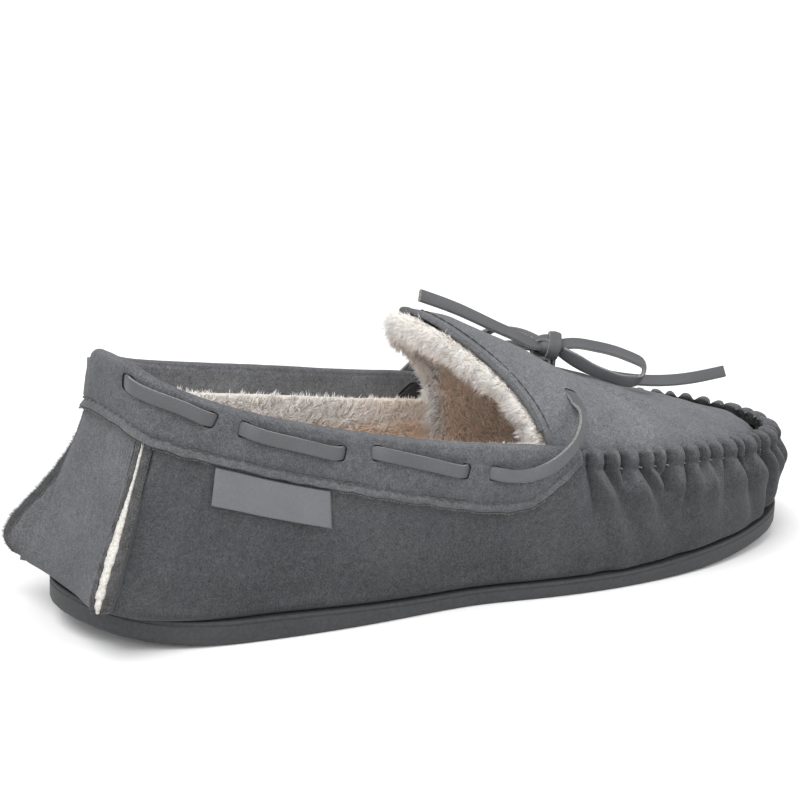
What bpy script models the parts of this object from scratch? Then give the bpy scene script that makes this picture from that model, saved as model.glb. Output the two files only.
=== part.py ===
"""Moccasin house slipper with a faux-fur lining and a laced collar, right foot, built from separate pieces.

Lengths are in millimetres until a mesh is made, which converts them to metres. +X points to the toe, +Y to
the inner (medial) side of the foot, +Z up. The outsole stands on z = 0.

The upper is described by one closed loop of stations that runs round the shoe. A place on it is (w, t):
w is 0 at the middle of the heel, runs to -1 at the toe along the outer (lateral) side and to +1 at the toe
along the inner side; t is 0 at the feather edge, where the upper meets the sole, and 1 at the top edge.
"""
import math

import bmesh
import bpy
import numpy as np
from mathutils import Matrix, Vector

# ---- Frame ---------------------------------------------------------------------------------------------
MM = 0.001
FRAME_SHIFT = np.array([2.2, 0.9, 0.0])      # puts the middle of the slipper's box at x = y = 0
GAP = 0.3                                    # clearance between pieces that touch
MARGIN_GAP = 0.45                            # the same under the upper's turned-in edge
HEEL_STEP = 0.02                             # columns of the upper over w round the heel
SIDE_STEP = 0.8 / 30                         # and along the sides and the toe
HEEL_STEP_END = 0.2

# ---- Sole ----------------------------------------------------------------------------------------------
SOLE_HEEL_THICKNESS = 7.6
SOLE_WAIST_THICKNESS = 5.4
SOLE_FORE_THICKNESS = 6.9
HEEL_LIFT = 6.8
HEEL_LIFT_START = -95.0
TOE_SPRING = 6.5
TOE_SPRING_START = 50.0
HEEL_END = -142.5
TOE_END = 142.5
SOLE_EDGE_ROUND = 0.9
TREAD_DEPTH = 1.2
TREAD_WIDTH = 2.4
TREAD_GROOVES = (-112.0, -98.0, -84.0, -70.0, 8.0, 22.0, 36.0, 52.0, 68.0, 84.0, 100.0)

# ---- Upper: material thicknesses and widths ---------------------------------------------------------------
SUEDE = 1.6
COLLAR_LEG = 1.4
RIDGE_THICKNESS = 3.3                        # the gathered seam round the toe
RIDGE_DEPTH = 5.6
MARGIN_INSET = 7.0                           # how far the upper is turned in under the footbed
TUNNEL_DROP = 11.6                           # room for the lace above the side wall, inside the collar
COLLAR_INNER_DEPTH = 13.0
FIN_LENGTH = 4.4                             # the raised edges of the two heel seams
FIN_LEAF = 1.1
INTERLINING = 1.2
HEEL_SEAM_W = 0.08
LINING_OFFSET = 4.1
LINING_PILE = 5.6
COUNTER_THICKNESS = 1.1
COUNTER_OFFSET = 2.2
COUNTER_END_W = 0.2
EDGE_ROLL_RADIUS = 1.1
EDGE_ROLL_STAND = 2.4                        # its middle line, back from the tongue's edge

# ---- Footbed ---------------------------------------------------------------------------------------------
BOARD_THICKNESS = 1.5
FOAM_THICKNESS = 3.0
PLUSH_THICKNESS = 4.0
BOARD_INSET = 6.5
FOOTBED_INSET = 4.0

# ---- Lace ------------------------------------------------------------------------------------------------
LACE_WIDTH = 4.2
LACE_THICKNESS = 1.5
LACE_CLEARANCE = 0.35
FREE_LACE_RADIUS = 1.2                       # the free ends and bows as plain round cord

# ---- Label -----------------------------------------------------------------------------------------------
LABEL_REAR_X = -102.0
LABEL_FRONT_X = -68.5
LABEL_HEIGHT = 10.8
LABEL_THICKNESS = 1.1
LABEL_GAP_TO_COLLAR = 1.1

# ---- Stations round the upper ------------------------------------------------------------------------------
# Sole edge (x, half-width), from the heel to just short of the toe.
LATERAL_SOLE = [(-142.5, 0.0), (-139.5, 14.0), (-132.0, 24.5), (-120.0, 31.0), (-104.0, 35.2),
                (-73.0, 39.2), (-42.0, 40.4), (-14.0, 41.2), (9.0, 45.6), (28.0, 48.3),
                (53.0, 49.1), (82.0, 46.2), (106.0, 39.2), (127.0, 27.3), (137.5, 13.5)]
MEDIAL_SOLE = [(-142.5, 0.0), (-139.5, 14.0), (-132.0, 24.5), (-120.0, 30.8), (-104.0, 34.4),
               (-73.0, 33.3), (-42.0, 33.2), (-14.0, 34.2), (9.0, 37.5), (28.0, 41.9),
               (53.0, 46.4), (82.0, 47.1), (106.0, 41.8), (129.0, 32.5), (139.5, 18.5)]
TOE_SOLE = (142.5, 4.0)
# The upper stands out beyond the sole at the heel corners: (dx, outward dy) for the first stations.
HEEL_FLARE = [(-0.8, 0.0), (-4.0, 1.0), (-11.0, 4.0), (-8.0, 2.2), (-1.6, -0.6)]
FEATHER_INSET = 1.0
# Top edge of the upper: collar at the rear, gathered seam at the front (x, half-width, height).
LATERAL_TOP = [(-125.5, 0.0, 85.3), (-125.0, 12.0, 84.9), (-121.0, 21.5, 82.0), (-111.5, 26.3, 77.4),
               (-96.0, 30.2, 71.7), (-71.0, 33.8, 64.9), (-42.0, 36.9, 58.7), (-14.0, 39.7, 54.2),
               (10.0, 42.2, 51.2), (27.0, 44.5, 48.5), (53.0, 45.8, 46.6), (81.0, 43.2, 44.9),
               (103.5, 36.8, 43.1), (123.0, 25.6, 41.4), (133.0, 13.0, 40.2)]
MEDIAL_TOP = [(-125.5, 0.0, 85.3), (-125.0, 12.0, 84.9), (-121.0, 21.5, 82.3), (-111.5, 26.0, 78.4),
              (-96.0, 29.3, 74.6), (-71.0, 31.6, 70.8), (-42.0, 34.0, 66.4), (-14.0, 36.8, 62.0),
              (10.0, 38.8, 58.4), (27.0, 40.6, 53.6), (53.0, 43.6, 48.6), (81.0, 43.9, 45.6),
              (103.5, 38.6, 43.4), (125.0, 29.6, 41.2), (134.8, 17.0, 40.0)]
TOE_TOP = (138.0, 3.0, 39.6)
# Control point of each section: how far it lies outside the straight line, and how high up the section.
BULGE = [-6.0, -6.0, -5.5, -3.0, -0.5, 1.0, 1.5, 2.0, 2.5, 3.5, 5.0, 6.0, 6.0, 6.0, 6.0]
BULGE_HEIGHT = [0.68, 0.68, 0.66, 0.60, 0.50, 0.40, 0.40, 0.40, 0.40, 0.42, 0.45, 0.45, 0.45, 0.45, 0.45]
TOE_BULGE = 6.0
TOE_BULGE_HEIGHT = 0.45

# ---- Collar: depth of its outer leg by x -------------------------------------------------------------------
COLLAR_DEPTH_X = [-130.0, -95.0, -60.0, -20.0, -5.0, 4.0, 10.0, 16.0, 21.5]
COLLAR_DEPTH = [18.5, 17.8, 19.2, 22.0, 22.0, 20.2, 15.6, 10.5, 4.6]
COLLAR_END_X = 21.5

# ---- Apron and tongue ----------------------------------------------------------------------------------------
JUNCTION_X = 12.4                            # where the tongue's edge meets the collar
APRON_EDGE_DROP = 5.5
APRON_EDGE_OFFSET = 3.6
SPINE_START_X = -16.5
SPINE_END_X = 118.0
SPINE_Y_AT_TOE = 2.5
SPINE_SPREAD = 1.35
# Crown line of the apron (x, z), from the tongue's tip to the toe.
SPINE = [(-16.5, 90.5), (-3.6, 86.8), (13.0, 80.0), (27.0, 73.0), (40.7, 66.0), (55.5, 61.3),
         (70.0, 56.3), (85.0, 51.4), (103.0, 45.8), (118.0, 41.8)]
ARCH_POWER_REAR = 1.12
ARCH_POWER_FRONT = 1.6

# ---- Lace route --------------------------------------------------------------------------------------------
LACE_OUT = GAP + COLLAR_LEG + LACE_CLEARANCE + 0.5 * LACE_THICKNESS
LACE_IN = -0.5 * SUEDE
# Threading of the collar, from the heel forward: (w or x, depth below the top edge, offset);
# x is used along the sides and w round the heel, which is square to x.
HEEL_LACE_W = {-1: [(0.0, 5.3, LACE_IN), (0.028, 5.2, LACE_IN), (0.058, 4.6, LACE_OUT)],
               1: [(0.0, 5.3, LACE_IN), (0.05, 5.2, LACE_IN), (0.077, 4.6, LACE_OUT)]}
SIDE_LACE_X = [(-122.0, 4.2, LACE_OUT), (-114.0, 4.2, LACE_OUT), (-107.5, 4.9, LACE_OUT),
               (-102.0, 5.2, LACE_IN), (-99.0, 5.2, LACE_IN), (-94.0, 5.4, LACE_OUT),
               (-84.0, 6.1, LACE_OUT), (-74.0, 6.8, LACE_OUT), (-67.5, 7.2, LACE_OUT),
               (-62.0, 6.8, LACE_IN), (-57.0, 6.0, LACE_IN), (-51.0, 5.6, LACE_OUT),
               (-41.0, 6.6, LACE_OUT), (-31.0, 7.9, LACE_OUT), (-24.0, 8.8, LACE_OUT),
               (-18.5, 9.0, LACE_IN), (-15.0, 9.0, LACE_IN), (-9.0, 9.4, LACE_OUT)]
# Free stretch from the collar to the hole in the apron, as places for the lateral side (x, y, z).
FREE_LACE = [(-2.0, -45.9, 43.6), (4.5, -48.2, 45.2), (10.5, -49.2, 48.6), (16.0, -48.6, 52.8),
             (20.5, -45.6, 56.6), (23.8, -41.0, 59.6)]
MEDIAL_FREE_SHIFT = np.array([0.0, 3.6, 7.2])
# Through the side hole and under the apron to the crown (x, angle up the apron, height above its face).
APRON_LACE = [(25.3, 32.0, 1.3), (26.2, 40.0, -0.5), (27.5, 48.0, -2.75), (31.0, 60.0, -2.75),
              (34.5, 71.0, -2.75), (37.0, 79.0, -2.75)]
CROWN_HOLE_HALF = np.array([3.8, 4.0])       # the opening below the knot, in x and y
LACE_RING_STEP = 3.5

# ---- Bow -----------------------------------------------------------------------------------------------------
KNOT_CENTRE = np.array([39.7, -1.5, 73.3])
KNOT_HALF = np.array([5.8, 5.0, 3.8])
NEAR_LOOP = [(46.9, -4.6, 74.2), (52.3, -8.0, 73.6), (61.1, -10.0, 71.3), (69.0, -11.0, 68.2),
             (73.6, -12.0, 64.6), (72.0, -12.0, 60.9), (67.0, -11.2, 60.2), (58.6, -10.0, 62.8),
             (51.5, -8.6, 66.0), (46.6, -7.4, 69.0)]
FAR_LOOP = [(37.0, 5.6, 75.6), (35.0, 12.0, 76.6), (33.0, 19.0, 76.0), (31.6, 25.0, 73.6),
            (31.4, 28.0, 70.6), (33.0, 26.6, 68.6), (35.6, 20.5, 69.8), (38.0, 12.6, 70.6),
            (40.0, 6.2, 71.0)]
FRONT_TAIL = [(46.2, -1.4, 69.0), (54.0, -1.9, 64.6), (64.8, -2.0, 60.6), (81.5, -3.0, 57.2),
              (101.4, -5.0, 56.5), (114.9, -8.0, 58.4)]
REAR_TAIL = [(32.2, -0.9, 74.6), (26.0, 0.0, 77.6), (19.6, 1.0, 80.6), (4.1, 3.0, 87.9),
             (-11.7, 4.0, 94.0)]
TAIL_STEP = 4.0


# ---- Curves --------------------------------------------------------------------------------------------------
def cubic_spline(knots, values, period=None):
    """Cubic spline through values at knots; periodic when a period is given, else natural at its ends."""
    knots = np.asarray(knots, float)
    values = np.asarray(values, float)
    if period is not None:
        knots = np.append(knots, knots[0] + period)
        values = np.vstack([values, values[:1]])
    count = len(knots)
    width = np.diff(knots)
    slope = np.diff(values, axis=0) / width[:, None]
    matrix = np.eye(count)
    right = np.zeros_like(values)
    for i in range(1, count - 1):
        matrix[i, i - 1:i + 2] = width[i - 1], 2 * (width[i - 1] + width[i]), width[i]
        right[i] = 6 * (slope[i] - slope[i - 1])
    if period is not None:
        matrix[0, :2] = 2 * width[0], width[0]
        matrix[0, -2:] = width[-1], 2 * width[-1]
        right[0] = 6 * (slope[0] - slope[-1])
        matrix[-1, 0] = -1.0
    bend = np.linalg.solve(matrix, right)

    def evaluate(place):
        place = np.atleast_1d(np.asarray(place, float))
        if period is not None:
            place = (place - knots[0]) % period + knots[0]
        i = np.clip(np.searchsorted(knots, place, side="right") - 1, 0, count - 2)
        h = width[i][:, None]
        a = (knots[i + 1] - place)[:, None]
        b = (place - knots[i])[:, None]
        cubic = (bend[i] * a ** 3 + bend[i + 1] * b ** 3) / (6 * h)
        line = (values[i] / h - bend[i] * h / 6) * a + (values[i + 1] / h - bend[i + 1] * h / 6) * b
        return cubic + line

    return evaluate


def chord_lengths(points):
    """Running length along a row of points, from 0."""
    steps = np.linalg.norm(np.diff(points, axis=0), axis=1)
    return np.concatenate([[0.0], np.cumsum(steps)])


def smooth_route(points, step):
    """Points about step apart on a smooth curve through the given points."""
    points = np.asarray(points, float)
    lengths = chord_lengths(points)
    count = max(3, int(round(lengths[-1] / step)) + 1)
    return cubic_spline(lengths, points)(np.linspace(0.0, lengths[-1], count))


def smooth_step(low, high, value):
    """0 below low, 1 above high, easing in between."""
    part = np.clip((np.asarray(value, float) - low) / (high - low), 0.0, 1.0)
    return part * part * (3 - 2 * part)


# ---- Sole heights ------------------------------------------------------------------------------------------------
def sole_bottom(x):
    """Height of the tread above the ground: flat in the middle, lifted at the heel and the toe."""
    heel = np.clip((HEEL_LIFT_START - x) / (HEEL_LIFT_START - HEEL_END), 0.0, 1.3)
    toe = np.clip((x - TOE_SPRING_START) / (TOE_END - TOE_SPRING_START), 0.0, 1.3)
    return HEEL_LIFT * heel ** 2 + TOE_SPRING * toe ** 2


def sole_top(x):
    """Height of the outsole's upper face."""
    waist = SOLE_WAIST_THICKNESS + (SOLE_HEEL_THICKNESS - SOLE_WAIST_THICKNESS) * smooth_step(25.0, 95.0, -x)
    thickness = waist + (SOLE_FORE_THICKNESS - SOLE_WAIST_THICKNESS) * smooth_step(35.0, 85.0, x)
    return sole_bottom(x) + thickness


def margin_top(x):
    """Top of the upper's turned-in edge, which the footbed lies on."""
    return sole_top(x) + MARGIN_GAP + SUEDE


def footbed_top(x):
    """Top of the plush footbed."""
    return margin_top(x) + 3 * GAP + BOARD_THICKNESS + FOAM_THICKNESS + PLUSH_THICKNESS


# ---- The loop of stations --------------------------------------------------------------------------------------
def build_loop():
    """Splines of the sole edge, the feather edge, the top edge and the sections' control points over w."""
    def side(sole, top, sign):
        rows = []
        for i, ((x, half), (top_x, top_half, top_z)) in enumerate(zip(sole, top)):
            flare = HEEL_FLARE[i] if i < len(HEEL_FLARE) else (0.0, 0.0)
            rows.append([x, sign * half, flare[0], sign * flare[1], float(i >= len(HEEL_FLARE)),
                         top_x, sign * top_half, top_z, BULGE[i], BULGE_HEIGHT[i]])
        return rows

    toe = [TOE_SOLE[0], TOE_SOLE[1], 0.0, 0.0, 1.0, *TOE_TOP, TOE_BULGE, TOE_BULGE_HEIGHT]
    lateral = side(LATERAL_SOLE, LATERAL_TOP, -1.0)
    medial = side(MEDIAL_SOLE, MEDIAL_TOP, 1.0)
    table = np.array([toe] + lateral[::-1] + medial[1:])
    middle = 0.5 * (table[:, 0:2] + table[:, 5:7])
    lengths = chord_lengths(np.vstack([middle, middle[:1]]))
    heel = len(lateral)
    knots = np.where(np.arange(len(table)) <= heel,
                     lengths[:-1] / lengths[heel] - 1.0,
                     (lengths[:-1] - lengths[heel]) / (lengths[-1] - lengths[heel]))
    return cubic_spline(knots, table, period=2.0)


LOOP = build_loop()


def fold_w(w):
    """Distance from the heel, 0 to 1, on either side of the shoe."""
    return 1.0 - np.abs((np.asarray(w, float) + 2.0) % 2.0 - 1.0)


def flat_normal(curve, w, reach):
    """Outward horizontal normal of a plan curve over w, averaged over the given reach."""
    tangent = curve(w + reach) - curve(w - reach)
    tangent = tangent[:, :2]
    normal = np.stack([-tangent[:, 1], tangent[:, 0], np.zeros(len(tangent))], axis=1)
    normal /= np.linalg.norm(normal, axis=1)[:, None]
    return normal


def sole_edge(w, inset=0.0):
    """Plan point of the outsole's edge, moved inward by inset; z is 0."""
    w = np.atleast_1d(np.asarray(w, float))
    point = np.zeros((len(w), 3))
    point[:, :2] = LOOP(w)[:, :2]
    return point - inset * flat_normal(lambda v: LOOP(v)[:, :2], w, 0.008)


def upper_normal(w):
    """Outward horizontal normal of the upper, smoothed along it."""
    w = np.atleast_1d(np.asarray(w, float))
    middle = lambda v: 0.5 * (LOOP(v)[:, 0:2] + LOOP(v)[:, 5:7])
    return flat_normal(middle, w, 0.03)


def feather(w):
    """Where the upper's outer face meets the sole."""
    w = np.atleast_1d(np.asarray(w, float))
    row = LOOP(w)
    point = sole_edge(w)
    point[:, 0] += row[:, 2]
    point[:, 1] += row[:, 3]
    point -= (FEATHER_INSET * row[:, 4])[:, None] * upper_normal(w)
    point[:, 2] = sole_top(point[:, 0]) + MARGIN_GAP
    return point


def top_edge(w):
    """Top edge of the upper's outer face."""
    return LOOP(np.atleast_1d(np.asarray(w, float)))[:, 5:8]


def upper_point(w, t, offset=0.0):
    """Point of the upper's outer face at (w, t), moved outward by offset."""
    w = np.atleast_1d(np.asarray(w, float))
    t = np.broadcast_to(np.asarray(t, float), w.shape)[:, None]
    row = LOOP(w)
    bottom = feather(w)
    top = top_edge(w)
    normal = upper_normal(w)
    control = bottom + row[:, 9:10] * (top - bottom) + row[:, 8:9] * normal
    point = (1 - t) ** 2 * bottom + 2 * t * (1 - t) * control + t ** 2 * top
    return point + np.broadcast_to(np.asarray(offset, float), w.shape)[:, None] * normal


def section_table(w):
    """For one w: sampled t, and the length and height of the outer face at those places."""
    samples = np.linspace(0.0, 1.0, 41)
    points = upper_point(np.full(41, w), samples)
    return samples, chord_lengths(points), points[:, 2]


def t_at_drop(w, drop):
    """t at a distance drop below the top edge, measured along the section."""
    drop = np.broadcast_to(np.asarray(drop, float), np.shape(w))
    result = []
    for place, depth in zip(np.atleast_1d(w), np.atleast_1d(drop)):
        samples, lengths, _ = section_table(place)
        result.append(np.interp(lengths[-1] - depth, lengths, samples))
    return np.array(result)


def t_at_height(w, height):
    """t where the section reaches a height."""
    result = []
    for place, level in zip(np.atleast_1d(w), np.atleast_1d(height)):
        samples, _, heights = section_table(place)
        result.append(np.interp(level, heights, samples))
    return np.array(result)


def columns_between(start, finish):
    """The places w that all pieces of the upper share as columns, from start to finish, with both ends."""
    heel = np.arange(0.0, HEEL_STEP_END - 0.001, HEEL_STEP)
    side = np.arange(HEEL_STEP_END, 1.001, SIDE_STEP)
    half = np.concatenate([heel, side])
    shared = np.unique(np.round(np.concatenate([-half, half, half - 2.0]), 6))
    low, high = min(start, finish), max(start, finish)
    margin = 0.3 * HEEL_STEP
    inside = shared[(shared > low + margin) & (shared < high - margin)]
    places = np.concatenate([[low], inside, [high]])
    return places if start < finish else places[::-1]


def w_at_x(x, side):
    """w on one side (-1 lateral, +1 medial) where the top edge has the given x."""
    samples = side * np.linspace(0.1, 0.97, 300)
    return float(np.interp(x, top_edge(samples)[:, 0], samples))


def collar_depth(w):
    """Depth of the collar's outer leg below the top edge."""
    return np.interp(top_edge(w)[:, 0], COLLAR_DEPTH_X, COLLAR_DEPTH)


def wall_top_drop(w):
    """How far the suede wall ends below the top edge: under the lace tunnel, then up into the toe seam."""
    x = top_edge(w)[:, 0]
    tunnel_end = TUNNEL_DROP + (2.3 - TUNNEL_DROP) * smooth_step(-2.0, 14.0, x)
    return tunnel_end * (1 - smooth_step(COLLAR_END_X + 5.0, COLLAR_END_X + 10.0, x))


# ---- Apron surface -------------------------------------------------------------------------------------------------
SPINE_CURVE = cubic_spline([x for x, _ in SPINE], [[z] for _, z in SPINE])
JUNCTION = {-1: -w_at_x(JUNCTION_X, -1), 1: w_at_x(JUNCTION_X, 1)}


def apron_point(w, angle):
    """Outer face of the apron: angle 0 at its edge beside the upper, 90 degrees on its crown line."""
    w = np.atleast_1d(np.asarray(w, float))
    angle = np.broadcast_to(np.asarray(angle, float), w.shape)
    side = np.where((w + 2.0) % 2.0 < 1.0, 1, -1)
    start = np.where(side > 0, JUNCTION[1], JUNCTION[-1])
    part = np.clip((fold_w(w) - start) / (1.0 - start), 0.0, 1.0)
    edge = top_edge(w) - APRON_EDGE_OFFSET * upper_normal(w)
    edge[:, 2] -= APRON_EDGE_DROP
    spine_x = SPINE_START_X + (SPINE_END_X - SPINE_START_X) * (1 - (1 - part) ** SPINE_SPREAD)
    spine_y = SPINE_Y_AT_TOE * (spine_x - SPINE_START_X) / (SPINE_END_X - SPINE_START_X)
    spine_z = SPINE_CURVE(spine_x)[:, 0]
    power = ARCH_POWER_REAR + (ARCH_POWER_FRONT - ARCH_POWER_REAR) * smooth_step(0.0, 0.55, part)
    cosine = np.cos(angle)
    rise = np.sin(angle) ** power
    x = spine_x + (edge[:, 0] - spine_x) * (cosine ** 2 * (1 - part) + cosine * part)
    y = spine_y + (edge[:, 1] - spine_y) * cosine
    z = edge[:, 2] + (spine_z - edge[:, 2]) * rise
    return np.stack([x, y, z], axis=1)


def apron_w_at_x(x, angle, side):
    """w on one side where the apron, at the given angle, has the given x."""
    samples = side * np.linspace(JUNCTION[side], 0.95, 200)
    return float(np.interp(x, apron_point(samples, angle)[:, 0], samples))


def apron_normal(w, angle):
    """Upward normal of the apron, from small steps along and across it."""
    w = np.atleast_1d(np.asarray(w, float))
    angle = np.broadcast_to(np.asarray(angle, float), w.shape)
    side = np.where((w + 2.0) % 2.0 < 1.0, 1, -1)
    start = np.where(side > 0, JUNCTION[1], JUNCTION[-1])
    inward = np.where(side > 0, 1.0, -1.0)
    base = np.where(fold_w(w) < start + 0.004, w + 0.004 * inward, w)
    along = apron_point(base + 0.003, angle) - apron_point(base - 0.003, angle)
    steep = np.clip(angle, 0.12, 0.5 * math.pi - 0.03)
    across = apron_point(w, steep + 0.03) - apron_point(w, steep - 0.03)
    normal = np.cross(along, across)
    normal /= np.maximum(np.linalg.norm(normal, axis=1), 1e-9)[:, None]
    normal *= np.where(normal[:, 2] < 0, -1.0, 1.0)[:, None]
    crown = smooth_step(1.25, 1.5, angle)[:, None]
    upright = normal * np.array([1.0, 0.0, 1.0])
    normal = (1 - crown) * normal + crown * upright
    return normal / np.linalg.norm(normal, axis=1)[:, None]


# ---- Mesh making -----------------------------------------------------------------------------------------------
def make_material(name, colour, roughness):
    """One Principled material for one piece."""
    material = bpy.data.materials.new(name)
    material.use_nodes = True
    shader = material.node_tree.nodes["Principled BSDF"]
    shader.inputs["Base Color"].default_value = (*colour, 1.0)
    shader.inputs["Roughness"].default_value = roughness
    shader.inputs["Metallic"].default_value = 0.0
    return material


def make_object(name, points, faces, material, smooth_angle=40.0):
    """Object from points in millimetres, with every face turned outward."""
    mesh = bpy.data.meshes.new(name)
    mesh.from_pydata([tuple(p) for p in (np.asarray(points) + FRAME_SHIFT) * MM], [], faces)
    body = bmesh.new()
    body.from_mesh(mesh)
    bmesh.ops.recalc_face_normals(body, faces=body.faces)
    if body.calc_volume(signed=True) < 0:
        bmesh.ops.reverse_faces(body, faces=body.faces)
    body.to_mesh(mesh)
    body.free()
    mesh.shade_smooth()
    mesh.set_sharp_from_angle(angle=math.radians(smooth_angle))
    if material is not None:
        mesh.materials.append(material)
    obj = bpy.data.objects.new(name, mesh)
    bpy.context.scene.collection.objects.link(obj)
    return obj


def rings_to_solid(name, rings, material):
    """Closed solid from a row of closed rings with the same number of points, capped at both ends."""
    rings = np.asarray(rings)
    count, size = rings.shape[:2]
    faces = []
    for i in range(count - 1):
        for j in range(size):
            k = (j + 1) % size
            faces.append((i * size + j, i * size + k, (i + 1) * size + k, (i + 1) * size + j))
    faces.append(tuple(range(size)))
    faces.append(tuple(range((count - 1) * size, count * size)))
    return make_object(name, rings.reshape(-1, 3), faces, material)


def sheet_solid(name, outer, inner, material):
    """Closed solid between two grids of points: each column becomes a ring, its outer row then its inner."""
    rings = np.concatenate([outer, inner[:, ::-1]], axis=1)
    count, size = rings.shape[:2]
    half = size // 2
    faces = []
    for i in range(count - 1):
        for j in range(size):
            k = (j + 1) % size
            faces.append((i * size + j, i * size + k, (i + 1) * size + k, (i + 1) * size + j))
    for base, turn in ((0, 1), ((count - 1) * size, -1)):
        for j in range(half - 1):
            cap = (base + j, base + j + 1, base + size - 2 - j, base + size - 1 - j)
            faces.append(cap[::turn])
    return make_object(name, rings.reshape(-1, 3), faces, material)


def slab(name, inset, low, high, edge_round, material, columns=44):
    """Closed plate with the sole's outline moved in by inset, between two heights given over x."""
    levels = [(inset + edge_round, low, 0.0), (inset, low, edge_round),
              (inset, high, -edge_round), (inset + edge_round, high, 0.0)]
    places = np.linspace(0.0, 1.0, columns)
    points = []
    for depth, height, lift in levels:
        for side in (-1.0, 1.0):
            edge = sole_edge(side * places, depth)
            edge[0, 1] = 0.0
            edge[:, 2] = height(edge[:, 0]) + lift
            points.append(edge)
    index = np.arange(len(levels) * 2 * columns).reshape(len(levels), 2, columns)
    index[:, 1, 0] = index[:, 0, 0]
    index[:, 1, -1] = index[:, 0, -1]
    faces = []
    for level in range(len(levels) - 1):
        for side in (0, 1):
            for k in range(columns - 1):
                faces.append((index[level, side, k], index[level, side, k + 1],
                              index[level + 1, side, k + 1], index[level + 1, side, k]))
    for level in (0, len(levels) - 1):
        for k in range(columns - 1):
            ends = [index[level, 0, k], index[level, 0, k + 1], index[level, 1, k + 1], index[level, 1, k]]
            faces.append(tuple(dict.fromkeys(int(e) for e in ends)))
    used = sorted({int(v) for face in faces for v in face})
    renumber = {old: new for new, old in enumerate(used)}
    faces = [tuple(renumber[int(v)] for v in face) for face in faces]
    return make_object(name, np.concatenate(points)[used], faces, material)


def ribbon_rings(points, normals, width, thickness):
    """Rectangular rings of a flat strap along points, its flat faces turned to the normals."""
    tangents = np.gradient(points, axis=0)
    tangents /= np.linalg.norm(tangents, axis=1)[:, None]
    across = np.cross(tangents, normals)
    across /= np.linalg.norm(across, axis=1)[:, None]
    face = np.cross(across, tangents)
    corners = [(-0.5, -0.5), (0.5, -0.5), (0.5, 0.5), (-0.5, 0.5)]
    rings = [points + a * width * across + b * thickness * face for a, b in corners]
    return np.stack(rings, axis=1)


def cut(obj, cutter_rings, name):
    """Cut a piece with a guide solid, which is hidden from renders."""
    cutter = rings_to_solid(name, cutter_rings, None)
    cutter.hide_render = True
    cutter.display_type = "WIRE"
    cutter.hide_set(True)
    boolean = obj.modifiers.new(name, "BOOLEAN")
    boolean.operation = "DIFFERENCE"
    boolean.solver = "EXACT"
    boolean.object = cutter


def cord(name, points, radius, material):
    """Plain round cord on a curve with filled ends; its origin is at its first point."""
    curve = bpy.data.curves.new(name, "CURVE")
    curve.dimensions = "3D"
    curve.bevel_depth = radius * MM
    curve.bevel_resolution = 2
    curve.use_fill_caps = True
    spline = curve.splines.new("POLY")
    spline.points.add(len(points) - 1)
    places = (np.asarray(points) + FRAME_SHIFT) * MM
    for target, place in zip(spline.points, places):
        target.co = (*(place - places[0]), 1.0)
    curve.materials.append(material)
    obj = bpy.data.objects.new(name, curve)
    obj.location = tuple(places[0])
    bpy.context.scene.collection.objects.link(obj)


# ---- The pieces ------------------------------------------------------------------------------------------------
def make_outsole():
    """Rubber outsole with cross grooves in its tread."""
    material = make_material("outsole", (0.06, 0.062, 0.066), 0.75)
    sole = slab("outsole", 0.0, sole_bottom, sole_top, SOLE_EDGE_ROUND, material, columns=54)
    for number, x in enumerate(TREAD_GROOVES):
        half = 26.0 if x < 0 else 34.0
        base = float(sole_bottom(np.array(x)))
        low, high = base - 3.0, base + TREAD_DEPTH
        ring = [(x - 0.5 * TREAD_WIDTH, low), (x + 0.5 * TREAD_WIDTH, low),
                (x + 0.3 * TREAD_WIDTH, high), (x - 0.3 * TREAD_WIDTH, high)]
        rings = [[(px, y, pz) for px, pz in ring] for y in (-half, half)]
        cut(sole, rings, f"tread_cut_{number}")


def make_footbed():
    """Board, foam and plush layers that the foot stands on."""
    board_low = lambda x: margin_top(x) + GAP
    board_high = lambda x: board_low(x) + BOARD_THICKNESS
    foam_low = lambda x: board_high(x) + GAP
    foam_high = lambda x: foam_low(x) + FOAM_THICKNESS
    plush_low = lambda x: foam_high(x) + GAP
    slab("insole_board", BOARD_INSET, board_low, board_high, 0.3,
         make_material("insole_board", (0.42, 0.33, 0.24), 0.9), columns=30)
    slab("footbed_foam", FOOTBED_INSET, foam_low, foam_high, 0.5,
         make_material("footbed_foam", (0.75, 0.72, 0.62), 0.95), columns=30)
    slab("footbed_plush", FOOTBED_INSET, plush_low, footbed_top, 1.2,
         make_material("footbed_plush", (0.62, 0.52, 0.43), 1.0), columns=34)


def seam_frame(w):
    """Corner directions of a heel seam: straight out of the corner, and sideways towards the side wall."""
    side = np.sign(w)
    out = np.array([-0.62, side * 0.785, 0.0])
    sideways = np.array([0.785, side * 0.62, 0.0])
    return out, sideways


def fin_reach(w, rows):
    """Free end, outer root and inner root of a raised edge at each row, measured out from the seam.

    The edge stands out below the collar, and ends flush with the suede where the collar covers it.
    """
    bare = rows < t_at_drop(np.array([w]), collar_depth(w) + 1.2)[0]
    return (np.where(bare, FIN_LENGTH + 0.6, -0.85)[:, None], np.where(bare, 0.6, -1.0)[:, None],
            np.where(bare, -1.3, -1.5)[:, None])


def fin_columns(w, rows, leaf_side):
    """Outer and inner columns of a raised seam edge, from its free end to its root."""
    out, sideways = seam_frame(w)
    seam = upper_point(np.full(len(rows), w), rows)
    free_end, outer_root, inner_root = fin_reach(w, rows)
    near = leaf_side * (0.5 * INTERLINING + GAP) * sideways
    far = leaf_side * (0.5 * INTERLINING + GAP + FIN_LEAF) * sideways
    outer = [seam + far + free_end * out, seam + far + outer_root * out]
    inner = [seam + near + free_end * out, seam + near + inner_root * out]
    return outer, inner


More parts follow.
